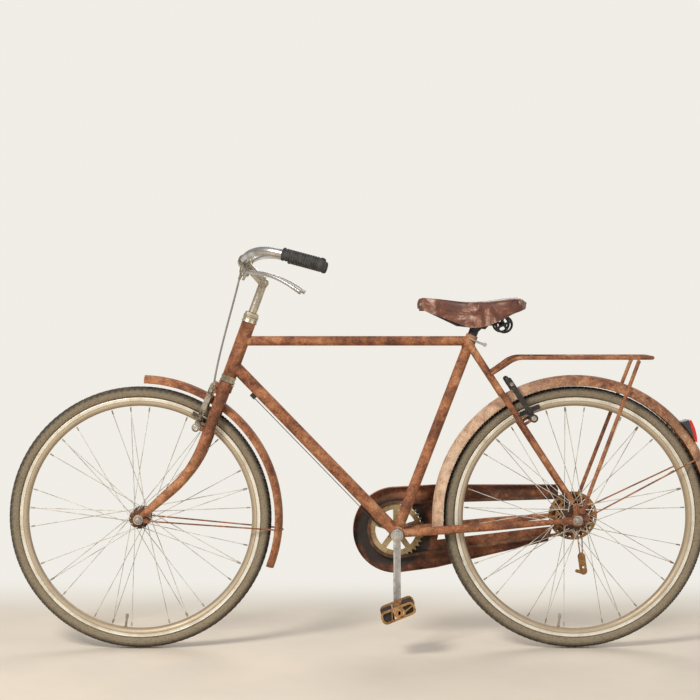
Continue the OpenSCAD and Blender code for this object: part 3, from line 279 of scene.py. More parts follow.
def darkFinish(name, base, worn, amount, rough=0.5):
    material, tree, shader, coords = startMaterial(name)
    film = noiseOf(tree, coords, 30, 7, 0.65)
    speck = noiseOf(tree, coords, 300, 4, 0.7)
    mask = rampOf(tree, weighed(tree, (film, 0.6), (speck, 0.4)),
                  [(0.60 - 0.15 * amount, 0.0), (0.70 - 0.12 * amount, 1.0)])
    tree.links.new(mixOf(tree, mask, base, worn), shader.inputs["Base Color"])
    shine = calc(tree, "ADD", rough - 0.1, calc(tree, "MULTIPLY", film, 0.3))
    tree.links.new(shine, shader.inputs["Roughness"])
    bumpOn(tree, shader, calc(tree, "ADD", film, speck), 0.3, 0.0005)
    return material


def tyreFinish(name, axle):
    # grey-tan dusty side, darker towards the tread, with painted shade along the rim edge
    material, tree, shader, coords = startMaterial(name)
    dust = noiseOf(tree, coords, 26, 8, 0.7)
    fine = noiseOf(tree, coords, 240, 4, 0.7)
    wobble = calc(tree, "MULTIPLY", calc(tree, "SUBTRACT", dust, 0.5), 0.010)
    share = shareOf(tree, calc(tree, "ADD", reachFrom(tree, coords, axle), wobble), 0.316, 0.349)
    # the first, darkest stop is painted shade along the edge where the tyre meets the rim
    side = rampOf(tree, share, [(0.0, (0.07, 0.055, 0.038)), (0.10, (0.27, 0.215, 0.14)),
                                (0.48, (0.22, 0.175, 0.115)), (0.66, (0.13, 0.105, 0.070)),
                                (0.80, (0.048, 0.039, 0.027)), (0.95, (0.085, 0.069, 0.047))])
    colour = mixOf(tree, rampOf(tree, dust, [(0.48, 0.0), (0.70, 0.4)]), side, (0.32, 0.255, 0.17))
    colour = mixOf(tree, rampOf(tree, fine, [(0.50, 0.0), (0.64, 0.55)]), colour, (0.05, 0.042, 0.03))
    tree.links.new(colour, shader.inputs["Base Color"])
    shader.inputs["Roughness"].default_value = 0.9
    bumpOn(tree, shader, calc(tree, "ADD", fine, dust), 0.4, 0.0006)
    return material


def rimFinish(name, axle):
    # pale brake track, dark groove, a tanner rounded back and painted shade at the outer edge, under the tyre
    material, tree, shader, coords = startMaterial(name)
    film = noiseOf(tree, coords, 12, 8, 0.65, 0.5)
    fine = noiseOf(tree, coords, 420, 3, 0.8)
    share = shareOf(tree, reachFrom(tree, coords, axle), 0.294, 0.320)
    # the last, darkest stop is painted shade where the tyre sits on the rim
    band = rampOf(tree, share, [(0.0, (0.30, 0.23, 0.15)), (0.20, (0.42, 0.33, 0.22)),
                                (0.50, (0.56, 0.46, 0.33)), (0.545, (0.26, 0.20, 0.13)),
                                (0.60, (0.80, 0.75, 0.62)), (0.90, (0.84, 0.79, 0.67)),
                                (0.95, (0.10, 0.08, 0.055))])
    colour = mixOf(tree, rampOf(tree, film, [(0.44, 0.0), (0.66, 0.6)]), band, (0.40, 0.31, 0.20))
    colour = mixOf(tree, rampOf(tree, fine, [(0.50, 0.0), (0.62, 0.35)]), colour, (0.30, 0.235, 0.155))
    tree.links.new(colour, shader.inputs["Base Color"])
    shader.inputs["Metallic"].default_value = 0.35
    tree.links.new(calc(tree, "ADD", 0.3, calc(tree, "MULTIPLY", film, 0.35)), shader.inputs["Roughness"])
    bumpOn(tree, shader, fine, 0.35, 0.0004)
    return material


def leatherFinish(name):
    # worn hide: red brown, rubbed pale on the flank, dark in its creases
    material, tree, shader, coords = startMaterial(name)
    broad = noiseOf(tree, coords, 17, 6, 0.6, 0.6)
    scuff = noiseOf(tree, coords, 55, 9, 0.72, 0.4)
    grain = cellsOf(tree, coords, 520)
    colour = rampOf(tree, broad, [(0.36, (0.060, 0.018, 0.010)), (0.50, (0.150, 0.048, 0.024)),
                                  (0.62, (0.27, 0.105, 0.058))])
    worn = calc(tree, "MULTIPLY", rampOf(tree, broad, [(0.49, 0.0), (0.60, 1.0)]),
                rampOf(tree, scuff, [(0.40, 0.0), (0.60, 1.0)]))
    colour = mixOf(tree, calc(tree, "MULTIPLY", worn, 0.85), colour, (0.62, 0.47, 0.38))
    crack = rampOf(tree, cellsOf(tree, coords, 95, "DISTANCE_TO_EDGE"), [(0.0, 1.0), (0.035, 0.0)])
    crack = calc(tree, "MULTIPLY", crack, rampOf(tree, scuff, [(0.46, 0.0), (0.58, 0.8)]))
    colour = mixOf(tree, crack, colour, (0.035, 0.012, 0.008))
    tree.links.new(colour, shader.inputs["Base Color"])
    tree.links.new(calc(tree, "ADD", 0.34, calc(tree, "MULTIPLY", scuff, 0.34)), shader.inputs["Roughness"])
    height = calc(tree, "SUBTRACT", calc(tree, "ADD", calc(tree, "MULTIPLY", grain, 0.5), scuff), crack)
    bumpOn(tree, shader, height, 0.35, 0.0006)
    return material


def lensFinish(name):
    material, tree, shader, coords = startMaterial(name, Roughness=0.16, IOR=1.49)
    film = noiseOf(tree, coords, 60, 6, 0.6)
    tree.links.new(rampOf(tree, film, [(0.40, (0.62, 0.03, 0.02)), (0.62, (0.42, 0.035, 0.025))]),
                   shader.inputs["Base Color"])
    shader.inputs["Coat Weight"].default_value = 0.5
    facets = cellsOf(tree, coords, 320)
    bumpOn(tree, shader, facets, 0.5, 0.0008)
    return material


def rubberFinish(name, base, dust):
    material, tree, shader, coords = startMaterial(name)
    film = noiseOf(tree, coords, 70, 7, 0.7)
    fine = noiseOf(tree, coords, 500, 3, 0.7)
    colour = mixOf(tree, rampOf(tree, film, [(0.46, 0.0), (0.68, 0.6)]), base, dust)
    tree.links.new(colour, shader.inputs["Base Color"])
    tree.links.new(calc(tree, "ADD", 0.55, calc(tree, "MULTIPLY", film, 0.3)), shader.inputs["Roughness"])
    bumpOn(tree, shader, fine, 0.3, 0.0004)
    return material


frontAxle = Vector((-0.9138, 0, -0.575))
rearAxle = Vector((0.2352, 0, -0.575))

orangeRust = ((0.070, 0.022, 0.010), (0.215, 0.070, 0.026), (0.37, 0.145, 0.058), (0.53, 0.285, 0.145))
paleRust = ((0.10, 0.036, 0.018), (0.29, 0.115, 0.050), (0.46, 0.23, 0.115), (0.64, 0.45, 0.30))
deepRust = ((0.045, 0.015, 0.008), (0.130, 0.042, 0.017), (0.26, 0.088, 0.034), (0.38, 0.17, 0.08))
oilyRust = ((0.022, 0.012, 0.007), (0.065, 0.026, 0.012), (0.15, 0.06, 0.024), (0.30, 0.16, 0.06))
yellowRust = ((0.06, 0.024, 0.008), (0.22, 0.095, 0.026), (0.36, 0.18, 0.055), (0.50, 0.30, 0.13))

frameRust = rustFinish("frameRust", orangeRust, 0.42)
fenderRust = rustFinish("fenderRust", paleRust, 0.5, bleachTo=(0.66, 0.49, 0.34))
# the chain guard's inner face carries painted shade round the chainring
guardRust = rustFinish("guardRust", deepRust, 0.6, paintedShadeRound=(-0.236, 0, -0.616))
discRust = rustFinish("discRust", yellowRust, 0.75, (0.5, 0.85), 0.7)
hubRust = rustFinish("hubRust", oilyRust, 0.5, (0.5, 0.85), 1.6)
pedalRust = rustFinish("pedalRust", yellowRust, 0.6, (0.6, 0.9), 1.8)
dullChrome = metalFinish("dullChrome", (0.66, 0.64, 0.60), (0.24, 0.12, 0.055), 0.35)
brassCups = metalFinish("brassCups", (0.56, 0.50, 0.36), (0.22, 0.13, 0.06), 0.55, (0.3, 0.55), 0.8)
spokeSteel = metalFinish("spokeSteel", (0.66, 0.62, 0.54), (0.34, 0.25, 0.16), 0.45, (0.45, 0.7), 0.35)
ringSteel = metalFinish("ringSteel", (0.50, 0.38, 0.20), (0.22, 0.12, 0.045), 0.8, (0.4, 0.65), 0.6)
nutSteel = metalFinish("nutSteel", (0.56, 0.53, 0.47), (0.22, 0.12, 0.055), 0.7, (0.35, 0.6), 0.8)
blackSteel = darkFinish("blackSteel", (0.018, 0.016, 0.015), (0.10, 0.055, 0.03), 0.4)
stemMetal = metalFinish("stemMetal", (0.60, 0.54, 0.43), (0.30, 0.18, 0.08), 0.5, (0.3, 0.55), 0.85)
brakeMetal = metalFinish("brakeMetal", (0.46, 0.41, 0.31), (0.055, 0.030, 0.016), 0.85, (0.35, 0.6), 0.8)
lampShell = darkFinish("lampShell", (0.035, 0.038, 0.036), (0.12, 0.11, 0.09), 0.3, 0.45)
frontTyreRubber = tyreFinish("frontTyreRubber", frontAxle)
rearTyreRubber = tyreFinish("rearTyreRubber", rearAxle)
frontRimAlloy = rimFinish("frontRimAlloy", frontAxle)
rearRimAlloy = rimFinish("rearRimAlloy", rearAxle)
saddleHide = leatherFinish("saddleHide")
redLens = lensFinish("redLens")
gripRubber = rubberFinish("gripRubber", (0.022, 0.021, 0.020), (0.11, 0.10, 0.085))
cableCasing = rubberFinish("cableCasing", (0.20, 0.18, 0.16), (0.34, 0.30, 0.25))
print("finishes ready")

finishOf = {
    "head_tube": frameRust, "top_tube": frameRust, "down_tube": frameRust, "seat_tube": frameRust,
    "bottom_bracket": frameRust, "chain_stay_left": frameRust, "chain_stay_right": frameRust,
    "seat_stay_left": frameRust, "seat_stay_right": frameRust, "frame_bridges": frameRust,
    "headset_cups": brassCups, "seat_post": blackSteel, "saddle": saddleHide, "saddle_frame": blackSteel,
    "saddle_springs": blackSteel, "rear_fender": fenderRust, "rear_fender_stays": frameRust,
    "rear_rack": frameRust, "rack_legs": frameRust, "rear_brake": blackSteel, "rear_light": lampShell,
    "rear_light_lens": redLens, "chain_case": guardRust, "chain": hubRust, "rear_derailleur": pedalRust,
    "rear_axle": nutSteel, "gear_cable": blackSteel, "fork_crown": frameRust, "fork_blade_left": frameRust,
    "fork_blade_right": frameRust, "headset_locknut": brassCups, "stem": stemMetal, "handlebar": dullChrome,
    "grip_left": gripRubber, "grip_right": gripRubber, "brake_lever_left": dullChrome,
    "brake_lever_right": dullChrome, "front_brake": brakeMetal, "front_brake_cable": cableCasing,
    "front_fender": frameRust, "front_fender_stays": frameRust, "front_axle": nutSteel,
    "front_tyre": frontTyreRubber, "front_rim": frontRimAlloy, "front_spokes": spokeSteel, "front_hub": hubRust,
    "rear_tyre": rearTyreRubber, "rear_rim": rearRimAlloy, "rear_spokes": spokeSteel, "rear_hub": hubRust,
    "freewheel": hubRust, "crank_left": dullChrome, "chainring": ringSteel, "pedal_left": pedalRust,
}
for nodeName, finish in finishOf.items():
    nodeMaterials = nodes[nodeName].data.materials
    nodeMaterials.clear()
    nodeMaterials.append(finish)
    for face in nodes[nodeName].data.polygons:
        face.material_index = 0


# Small helpers for the new pieces. Each is drawn in edit mode and ends at the origin, unturned.
def selectOnly(piece):
    bpy.ops.object.select_all(action="DESELECT")
    piece.select_set(True)
    bpy.context.view_layer.objects.active = piece


def selectOpenEdges():
    bpy.ops.mesh.select_mode(type="EDGE")
    bpy.ops.mesh.select_all(action="DESELECT")
    bpy.ops.mesh.select_non_manifold(extend=False, use_wire=False, use_multi_face=False,
                                     use_non_contiguous=False, use_verts=False)


def turnOutward(doubles=None):
    # in edit mode, welds what lies together and points every face outward
    bpy.ops.mesh.select_all(action="SELECT")
    if doubles:
        bpy.ops.mesh.remove_doubles(threshold=doubles)
    bpy.ops.mesh.normals_make_consistent(inside=False)
    bpy.ops.object.mode_set(mode="OBJECT")


def closeEnds(piece):
    selectOnly(piece)
    bpy.ops.object.mode_set(mode="EDIT")
    selectOpenEdges()
    bpy.ops.mesh.fill()
    turnOutward()


def mirroredBack(points):
    # the same line on the other side, from its end to its start
    return [(x, -y, z) for x, y, z in reversed(points)]


def startPoint(name, place):
    bpy.ops.object.select_all(action="DESELECT")
    bpy.ops.mesh.primitive_plane_add(size=0.002, location=(0, 0, 0))
    piece = bpy.context.object
    piece.name = name
    piece.data.name = name
    bpy.ops.object.mode_set(mode="EDIT")
    bpy.ops.mesh.select_mode(type="VERT")
    bpy.ops.mesh.merge(type="CENTER")
    bpy.ops.transform.translate(value=place)
    return piece


def drawLine(points):
    for here, there in zip(points, points[1:]):
        bpy.ops.mesh.extrude_region_move(TRANSFORM_OT_translate={"value": Vector(there) - Vector(here)})


def turnedPiece(name, rings, centre, axis=(0, 1, 0), side=(1, 0, 0), steps=64, angle=360.0, startAngle=0.0):
    # rings are (radius, along) pairs, spun round the axis through centre
    centre, axis = Vector(centre), Vector(axis).normalized()
    side = Matrix.Rotation(math.radians(startAngle), 3, axis) @ Vector(side)
    points = [centre + side * radius + axis * along for radius, along in rings]
    piece = startPoint(name, points[0])
    drawLine(points)
    bpy.ops.mesh.select_all(action="SELECT")
    bpy.ops.mesh.spin(steps=steps, angle=math.radians(angle), center=centre, axis=axis)
    turnOutward(0.00002)
    return piece


def blockPiece(name, size, bevel=0.0, segments=2):
    bpy.ops.object.select_all(action="DESELECT")
    bpy.ops.mesh.primitive_cube_add(size=1, location=(0, 0, 0))
    piece = bpy.context.object
    piece.name = name
    piece.data.name = name
    piece.scale = size
    bpy.ops.object.transform_apply(location=False, rotation=False, scale=True)
    if bevel:
        bpy.ops.object.mode_set(mode="EDIT")
        bpy.ops.mesh.select_all(action="SELECT")
        bpy.ops.mesh.bevel(offset=bevel, segments=segments, affect="EDGES")
        bpy.ops.object.mode_set(mode="OBJECT")
    return piece


def settleAt(piece, place, along=(0, 0, 1), roll=0.0):
    # puts a piece drawn round Z at its place, lying along a direction
    turn = Vector(along).to_track_quat("Z", "Y").to_matrix().to_4x4()
    piece.matrix_world = Matrix.Translation(place) @ turn @ Matrix.Rotation(math.radians(roll), 4, "Z")
    selectOnly(piece)
    bpy.ops.object.transform_apply(location=True, rotation=True, scale=True)


def moveTo(piece, place):
    piece.location = place
    selectOnly(piece)
    bpy.ops.object.transform_apply(location=True, rotation=False, scale=False)


def tubePiece(name, points, radius, taper=None, roundness=5):
    # a smooth tube: drawn as a line, swept as a curve and made a mesh again
    startPoint(name, points[0])
    drawLine(points)
    bpy.ops.object.mode_set(mode="OBJECT")
    bpy.ops.object.convert(target="CURVE")
    bpy.ops.object.mode_set(mode="EDIT")
    bpy.ops.curve.select_all(action="SELECT")
    bpy.ops.curve.spline_type_set(type="NURBS")
    bpy.ops.object.mode_set(mode="OBJECT")
    curve = bpy.context.object.data
    line = curve.splines[0]
    line.order_u = 3
    line.use_endpoint_u = True
    line.resolution_u = 6
    taper = taper or [1.0] * len(points)
    if (line.points[0].co.to_3d() - Vector(points[0])).length > 0.001:
        taper = list(reversed(taper))
    for point, share in zip(line.points, taper):
        point.radius = share
    curve.bevel_depth = radius
    curve.bevel_resolution = roundness
    curve.use_fill_caps = True
    bpy.ops.object.convert(target="MESH")
    bpy.ops.object.mode_set(mode="EDIT")
    turnOutward(0.00002)
    return bpy.context.object


def copyPiece(piece, name):
    twin = piece.copy()
    twin.data = piece.data.copy()
    twin.name = name
    twin.data.name = name
    scene.collection.objects.link(twin)
    return twin


def joinPieces(name, group):
    bpy.ops.object.select_all(action="DESELECT")
    for piece in group:
        piece.select_set(True)
    bpy.context.view_layer.objects.active = group[0]
    bpy.ops.object.join()
    joined = bpy.context.object
    joined.name = name
    joined.data.name = name
    return joined


def useModifier(piece, kind, **values):
    selectOnly(piece)
    modifier = piece.modifiers.new(kind.lower(), kind)
    for key, value in values.items():
        setattr(modifier, key, value)
    bpy.ops.object.modifier_apply(modifier=modifier.name)


def finishPiece(piece, body, finish, smooth=35):
    piece.data.materials.clear()
    piece.data.materials.append(finish)
    selectOnly(piece)
    bpy.ops.object.shade_smooth_by_angle(angle=math.radians(smooth))
    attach(piece, body)


def facesWhere(piece, test):
    # in edit mode, selects the faces whose middle and normal pass the test
    bpy.ops.mesh.select_mode(type="FACE")
    bpy.ops.mesh.select_all(action="DESELECT")
    bpy.ops.object.mode_set(mode="OBJECT")
    for face in piece.data.polygons:
        face.select = test(face.center, face.normal)
    bpy.ops.object.mode_set(mode="EDIT")


def edgesAlongY(piece):
    # in edit mode, selects the edges of a plain block that run across the bicycle
    bpy.ops.mesh.select_mode(type="EDGE")
    bpy.ops.mesh.select_all(action="DESELECT")
    bpy.ops.object.mode_set(mode="OBJECT")
    for edge in piece.data.edges:
        first, second = (piece.data.vertices[index].co for index in edge.vertices)
        edge.select = abs(first.x - second.x) < 1e-6 and abs(first.z - second.z) < 1e-6
    bpy.ops.object.mode_set(mode="EDIT")


def angleRound(centre, point):
    return math.atan2(point.z - centre.z, point.x - centre.x) % (2 * math.pi)


# Tyres: ribbed side walls and staggered tread blocks
tyreShape = {"steps": 252, "inset": 0.0006, "block": 0.0016, "treadFrom": 0.337, "crown": 0.0058,
             "shoulder": 0.0125}
tyreSection = [(0.3186, 0.0092), (0.3212, 0.0124), (0.3228, 0.0150), (0.3236, 0.0156), (0.3244, 0.0155),
               (0.3262, 0.0170), (0.3290, 0.0181), (0.3298, 0.0179), (0.3306, 0.0184), (0.3335, 0.0183),
               (0.3362, 0.0174), (0.3388, 0.0157), (0.3411, 0.0133), (0.3431, 0.0100), (0.3445, 0.0060),
               (0.3453, 0.0022)]


def makeTyre(name, axle, body, finish):
    rings = tyreSection + [(radius, -along) for radius, along in reversed(tyreSection)]
    tyre = turnedPiece(name, rings + [rings[0]], axle, steps=tyreShape["steps"])
    bpy.ops.object.mode_set(mode="EDIT")
    step = 2 * math.pi / tyreShape["steps"]

    def onTread(centre, normal):
        reach = math.hypot(centre.x - axle.x, centre.z - axle.z)
        if reach < tyreShape["treadFrom"]:
            return False
        count = int(angleRound(axle, centre) / step)
        across = abs(centre.y)
        if across < tyreShape["crown"]:
            return count % 2 == (0 if centre.y > 0 else 1)
        if across < tyreShape["shoulder"]:
            return count % 2 == (1 if centre.y > 0 else 0)
        return count % 2 == 0

    facesWhere(tyre, onTread)
    bpy.ops.mesh.inset(thickness=tyreShape["inset"], use_individual=True)
    bpy.ops.mesh.extrude_region_shrink_fatten(TRANSFORM_OT_shrink_fatten={"value": tyreShape["block"]})
    bpy.ops.object.mode_set(mode="OBJECT")
    finishPiece(tyre, body, finish, 40)
    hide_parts(body.replace("_wheel", "_tyre"))


makeTyre("front_tyre_rubber", frontAxle, "front_wheel", frontTyreRubber)
makeTyre("rear_tyre_rubber", rearAxle, "rear_wheel", rearTyreRubber)
print("tyres made")

# Rims: hooked edges, a brake track with a groove and a rounded back
rimSection = [(0.3095, 0.0086), (0.3172, 0.0096), (0.3181, 0.0108), (0.3178, 0.0124), (0.3164, 0.0128),
              (0.3148, 0.0121), (0.3100, 0.0121), (0.3094, 0.0112), (0.3084, 0.0112), (0.3078, 0.0123),
              (0.3048, 0.0122), (0.3020, 0.0110), (0.2988, 0.0086), (0.2964, 0.0056), (0.2952, 0.0020)]
nippleShape = {"radius": 0.0018, "reach": 0.0100, "rim": 0.2942, "sunk": 0.003, "perSide": 18, "crossing": 55}
valveShape = {"angle": 262, "foot": 0.2962}


def makeRim(name, axle, body, finish):
    well = [(0.3062, 0.0035), (0.3078, 0.0072)]
    half = well + rimSection
    rings = half + [(radius, -along) for radius, along in reversed(half)]
    rim = turnedPiece(name, rings + [rings[0]], axle, steps=144)
    finishPiece(rim, body, finish, 30)
    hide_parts(body.replace("_wheel", "_rim"))


def makeNipples(name, axle, body, holeRadius, leftY, rightY):
    # the square-shouldered nut at the rim end of each spoke
    bpy.ops.object.select_all(action="DESELECT")
    bpy.ops.mesh.primitive_cylinder_add(vertices=10, radius=nippleShape["radius"], depth=nippleShape["reach"],
                                        location=(0, 0, nippleShape["reach"] / 2))
    nipple = bpy.context.object
    bpy.ops.object.mode_set(mode="EDIT")
    facesWhere(nipple, lambda centre, normal: normal.z < -0.9)
    bpy.ops.mesh.inset(thickness=0.0007)
    bpy.ops.transform.translate(value=(0, 0, -0.0014))
    bpy.ops.object.mode_set(mode="OBJECT")
    group = []
    for sideNumber, flangeY, rimY in ((0, leftY, -0.003), (1, rightY, 0.003)):
        for spoke in range(nippleShape["perSide"]):
            lead = 1 if spoke % 2 == 0 else -1
            hubAngle = math.radians(360 / nippleShape["perSide"] * (spoke + sideNumber / 2))
            rimAngle = hubAngle + math.radians(lead * nippleShape["crossing"])
            hubEnd = axle + Vector((holeRadius * math.cos(hubAngle), flangeY, holeRadius * math.sin(hubAngle)))
            rimX, rimZ = nippleShape["rim"] * math.cos(rimAngle), nippleShape["rim"] * math.sin(rimAngle)
            rimEnd = axle + Vector((rimX, rimY, rimZ))
            along = (rimEnd - hubEnd).normalized()
            twin = copyPiece(nipple, "nipple")
            settleAt(twin, rimEnd - along * (nippleShape["reach"] - nippleShape["sunk"]), along)
            group.append(twin)
    bpy.data.objects.remove(nipple)
    nipples = joinPieces(name, group)
    finishPiece(nipples, body, nippleBrass, 40)


def makeValve(name, axle, body):
    angle = math.radians(valveShape["angle"])
    inward = Vector((-math.cos(angle), 0, -math.sin(angle)))
    rings = [(0.0, 0.0), (0.0042, 0.0), (0.0042, 0.003), (0.0030, 0.0036), (0.0030, 0.024), (0.0040, 0.0246),
             (0.0040, 0.034), (0.0026, 0.036), (0.0, 0.036)]
    valve = turnedPiece(name, rings, axle - inward * valveShape["foot"], inward, (0, 1, 0), 14)
    finishPiece(valve, body, nippleBrass, 40)


nippleBrass = metalFinish("nippleBrass", (0.40, 0.34, 0.25), (0.20, 0.11, 0.05), 0.7, (0.45, 0.7), 0.6)
makeRim("front_rim_alloy", frontAxle, "front_wheel", frontRimAlloy)
makeRim("rear_rim_alloy", rearAxle, "rear_wheel", rearRimAlloy)
makeNipples("front_nipples", frontAxle, "front_wheel", 0.022, -0.033, 0.033)
makeNipples("rear_nipples", rearAxle, "rear_wheel", 0.027, -0.036, 0.022)
makeValve("front_valve", frontAxle, "front_wheel")
makeValve("rear_valve", rearAxle, "rear_wheel")
print("rims made")

# Mudguards: thin rounded blades with rolled edges and a ridge along the crown
guardShape = {"crown": 0.3762, "half": 0.0250, "wall": 0.0012, "bead": 0.0021, "ridge": 0.0007,
              "ridgeWidth": 0.13, "steps": 96}


def guardSection(reach):
    crown, half, wall, bead = (guardShape[key] for key in ("crown", "half", "wall", "bead"))
    depth = crown - reach
    outer, inner = [], []
    for count in range(25):
        angle = math.radians(-90 + 7.5 * count)
        ridge = guardShape["ridge"] * math.exp(-(angle / guardShape["ridgeWidth"]) ** 2)
        outer.append((reach + (depth + ridge) * math.cos(angle), half * math.sin(angle)))
        inner.append((reach + (depth - wall) * math.cos(angle), (half - wall) * math.sin(angle)))
    curlHigh = [(reach - bead * 0.6, half + 0.0002), (reach - bead * 1.4, half - 0.0008),
                (reach - bead * 1.2, half - 0.0026), (reach - bead * 0.2, half - 0.0030)]
    curlLow = [(radius, -along) for radius, along in reversed(curlHigh)]
    return outer + curlHigh + list(reversed(inner)) + curlLow


def makeGuard(name, axle, body, node, first, last, reach, finish):
    rings = guardSection(reach)
    guard = turnedPiece(name, rings + [rings[0]], axle, steps=guardShape["steps"], angle=last - first,
                        startAngle=-first)
    closeEnds(guard)
    finishPiece(guard, body, finish, 40)
    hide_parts(node)


makeGuard("rear_guard_blade", rearAxle, "frame", "rear_fender", -2, 185, 0.3520, fenderRust)
makeGuard("front_guard_blade", frontAxle, "steering", "front_fender", -21, 88, 0.3590, frameRust)

# The tab that hangs the front blade from the fork crown
steerUp = Vector((0.3453, 0, 0.9385))
tabFoot = Vector((-0.7095, 0, -0.2325))
tab = blockPiece("front_guard_tab", (0.020, 0.016, 0.030), 0.002)
settleAt(tab, tabFoot, steerUp)
finishPiece(tab, "steering", frameRust)
print("mudguards made")

# Fork blades: tapered tubes, straight from the crown and then swept forward
forkShape = {"root": (-0.68864, 0.040, -0.22953), "lean": 20.2, "splay": 1.782, "straight": 0.1565,
             "bend": 0.300, "bendAngle": 28.5, "low": 0.103, "radius": 0.0149,
             "widths": (1.0, 1.0, 1.0, 0.99, 0.99, 0.98, 0.97, 0.95, 0.93, 0.90, 0.87, 0.80, 0.70, 0.60)}


def bladeAt(side, forward, down):
    # a point of a blade's middle line, told along and across the blade itself
    lean, splay = math.radians(forkShape["lean"]), math.radians(forkShape["splay"])
    flat = -down * math.cos(splay)
    x, y, z = forkShape["root"]
    return Vector((x - forward * math.cos(lean) + flat * math.sin(lean), side * (y + down * math.sin(splay)),
                   z + forward * math.sin(lean) + flat * math.cos(lean)))


for name, side in (("fork_tube_left", -1), ("fork_tube_right", 1)):
    straight, bend, low = (forkShape[key] for key in ("straight", "bend", "low"))
    points = [bladeAt(side, 0, straight * share) for share in (0.06, 0.25, 0.5, 0.75, 1.0)]
    for step in range(1, 7):
        angle = math.radians(forkShape["bendAngle"] * step / 6)
        points.append(bladeAt(side, bend * (1 - math.cos(angle)), straight + bend * math.sin(angle)))
    for share in (0.33, 0.66, 1.0):
        points.append(bladeAt(side, bend * (1 - math.cos(angle)) + share * low * math.sin(angle),
                              straight + bend * math.sin(angle) + share * low * math.cos(angle)))
    blade = tubePiece(name, points, forkShape["radius"], forkShape["widths"])
    finishPiece(blade, "steering", frameRust, 50)
print("fork tubes made")

# Handlebar: one swept tube with a thicker middle, mirrored about the stem
barLine = [(-0.637, 0.0, 0.099), (-0.637, 0.040, 0.099), (-0.636, 0.070, 0.0998), (-0.629, 0.112, 0.108),
           (-0.615, 0.156, 0.117), (-0.599, 0.190, 0.122), (-0.581, 0.213, 0.124), (-0.561, 0.228, 0.123),
           (-0.539, 0.237, 0.119), (-0.500, 0.2464, 0.1085), (-0.429, 0.2636, 0.0893)]
barShape = {"radius": 0.0111, "middle": 0.0128, "half": 0.034}
barTube = tubePiece("bar_tube", mirroredBack(barLine[1:]) + barLine, barShape["radius"], roundness=7)
middleRings = [(0.0, -barShape["half"]), (barShape["radius"] + 0.0002, -barShape["half"]),
               (barShape["middle"], 0.003 - barShape["half"]), (barShape["middle"], barShape["half"] - 0.003),
               (barShape["radius"] + 0.0002, barShape["half"]), (0.0, barShape["half"])]
barMiddle = turnedPiece("bar_middle", middleRings, barLine[0], (0, 1, 0), (1, 0, 0), 36)
barTube = joinPieces("bar_tube", [barTube, barMiddle])
finishPiece(barTube, "steering", dullChrome, 40)
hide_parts("handlebar")

# Brake levers: a band round the bar, its bracket and a long blade with a rounded end
leverShape = {"band": (-0.6342, 0.0808, 0.10215), "turn": (0.1615, 0.9690, 0.1817),
              "pivot": (-0.6382, 0.0948, 0.07215), "width": 0.0056, "bracket": 0.0088, "barrel": 0.0045}
# the blade's middle line from its pivot, in millimetres
leverLine = [(-4, -4, 3), (18, 22, 0), (40, 42, -2), (76, 72, -8), (116, 97, -27), (140, 110.5, -43),
             (154, 118, -52)]


def makeLever(name, node, side):
    def mirrored(place):
        return Vector((place[0], side * place[1], place[2]))

    def fromPivot(*step):
        return mirrored(Vector(leverShape["pivot"]) + Vector(step))

    points = [fromPivot(*(Vector(step) / 1000)) for step in leverLine]
    blade = tubePiece(name, points, leverShape["width"], [0.8, 1.05, 1.0, 0.92, 0.9, 0.95, 1.1])
    bandRings = [(0.0113, -0.0085), (0.0142, -0.0085), (0.0150, -0.0070), (0.0150, 0.0070), (0.0142, 0.0085),
                 (0.0113, 0.0085)]
    band = turnedPiece(name, bandRings + [bandRings[0]], mirrored(leverShape["band"]),
                       mirrored(leverShape["turn"]), (1, 0, 0), 28)
    underBar = mirrored(Vector(leverShape["band"]) + Vector((0, 0.004, -0.011)))
    bracket = tubePiece(name, [underBar, fromPivot(0.001, 0, 0.006), fromPivot(0, 0, -0.008)],
                        leverShape["bracket"], [0.85, 1.0, 0.7])
    barrelLine = [fromPivot(0, 0, 0), fromPivot(-0.004, -0.006, -0.009), fromPivot(-0.008, -0.012, -0.018)]
    barrel = tubePiece(name, barrelLine, leverShape["barrel"], [1.0, 1.0, 0.8])
    pinRings = [(0.0, -0.0100), (0.0040, -0.0096), (0.0046, -0.0086), (0.0046, 0.0086), (0.0040, 0.0096),
                (0.0, 0.0100)]
    pin = turnedPiece(name, pinRings, fromPivot(0.004, 0.004, -0.001), (0.3, -side * 0.3, 0.9), (1, 0, 0), 16)
    lever = joinPieces(name, [blade, pin])
    finishPiece(lever, "steering", dullChrome, 40)
    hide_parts(node)
    holder = joinPieces(name.replace("blade", "band"), [band, bracket, barrel])
    finishPiece(holder, "steering", brakeMetal, 40)


makeLever("lever_blade_left", "brake_lever_left", -1)
makeLever("lever_blade_right", "brake_lever_right", 1)
print("handlebar and levers made")

# Rear rack: one bent rod round the outside and three thinner ones across
rackShape = {"rod": 0.0050, "cross": 0.0036, "half": 0.0600, "height": -0.1510, "arch": 0.0004,
             "crossAt": (0.1239, 0.2569, 0.3900)}
rackLine = [(0.0106, 0.0469, -0.1938), (0.0190, 0.0478, -0.1883), (0.0290, 0.0500, -0.1820),
            (0.0520, 0.0560, -0.1660), (0.0640, 0.0592, -0.1575), (0.0830, 0.0600, -0.1510),
            (0.1050, 0.0600, -0.1510), (0.2000, 0.0600, -0.1510), (0.3200, 0.0600, -0.1510),
            (0.4080, 0.0600, -0.1510), (0.4320, 0.0590, -0.1510), (0.4322, 0.0350, -0.1510),
            (0.4320, 0.0100, -0.1510)]
rackParts = [tubePiece("rack_rods", rackLine + mirroredBack(rackLine), rackShape["rod"])]
for x in rackShape["crossAt"]:
    half, height = rackShape["half"], rackShape["height"]
    across = [(x, -half, height), (x, 0, height + rackShape["arch"]), (x, half, height)]
    rackParts.append(tubePiece("rack_cross", across, rackShape["cross"]))
rack = joinPieces("rack_rods", rackParts)
finishPiece(rack, "frame", frameRust, 50)
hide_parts("rear_rack")
print("rack made")

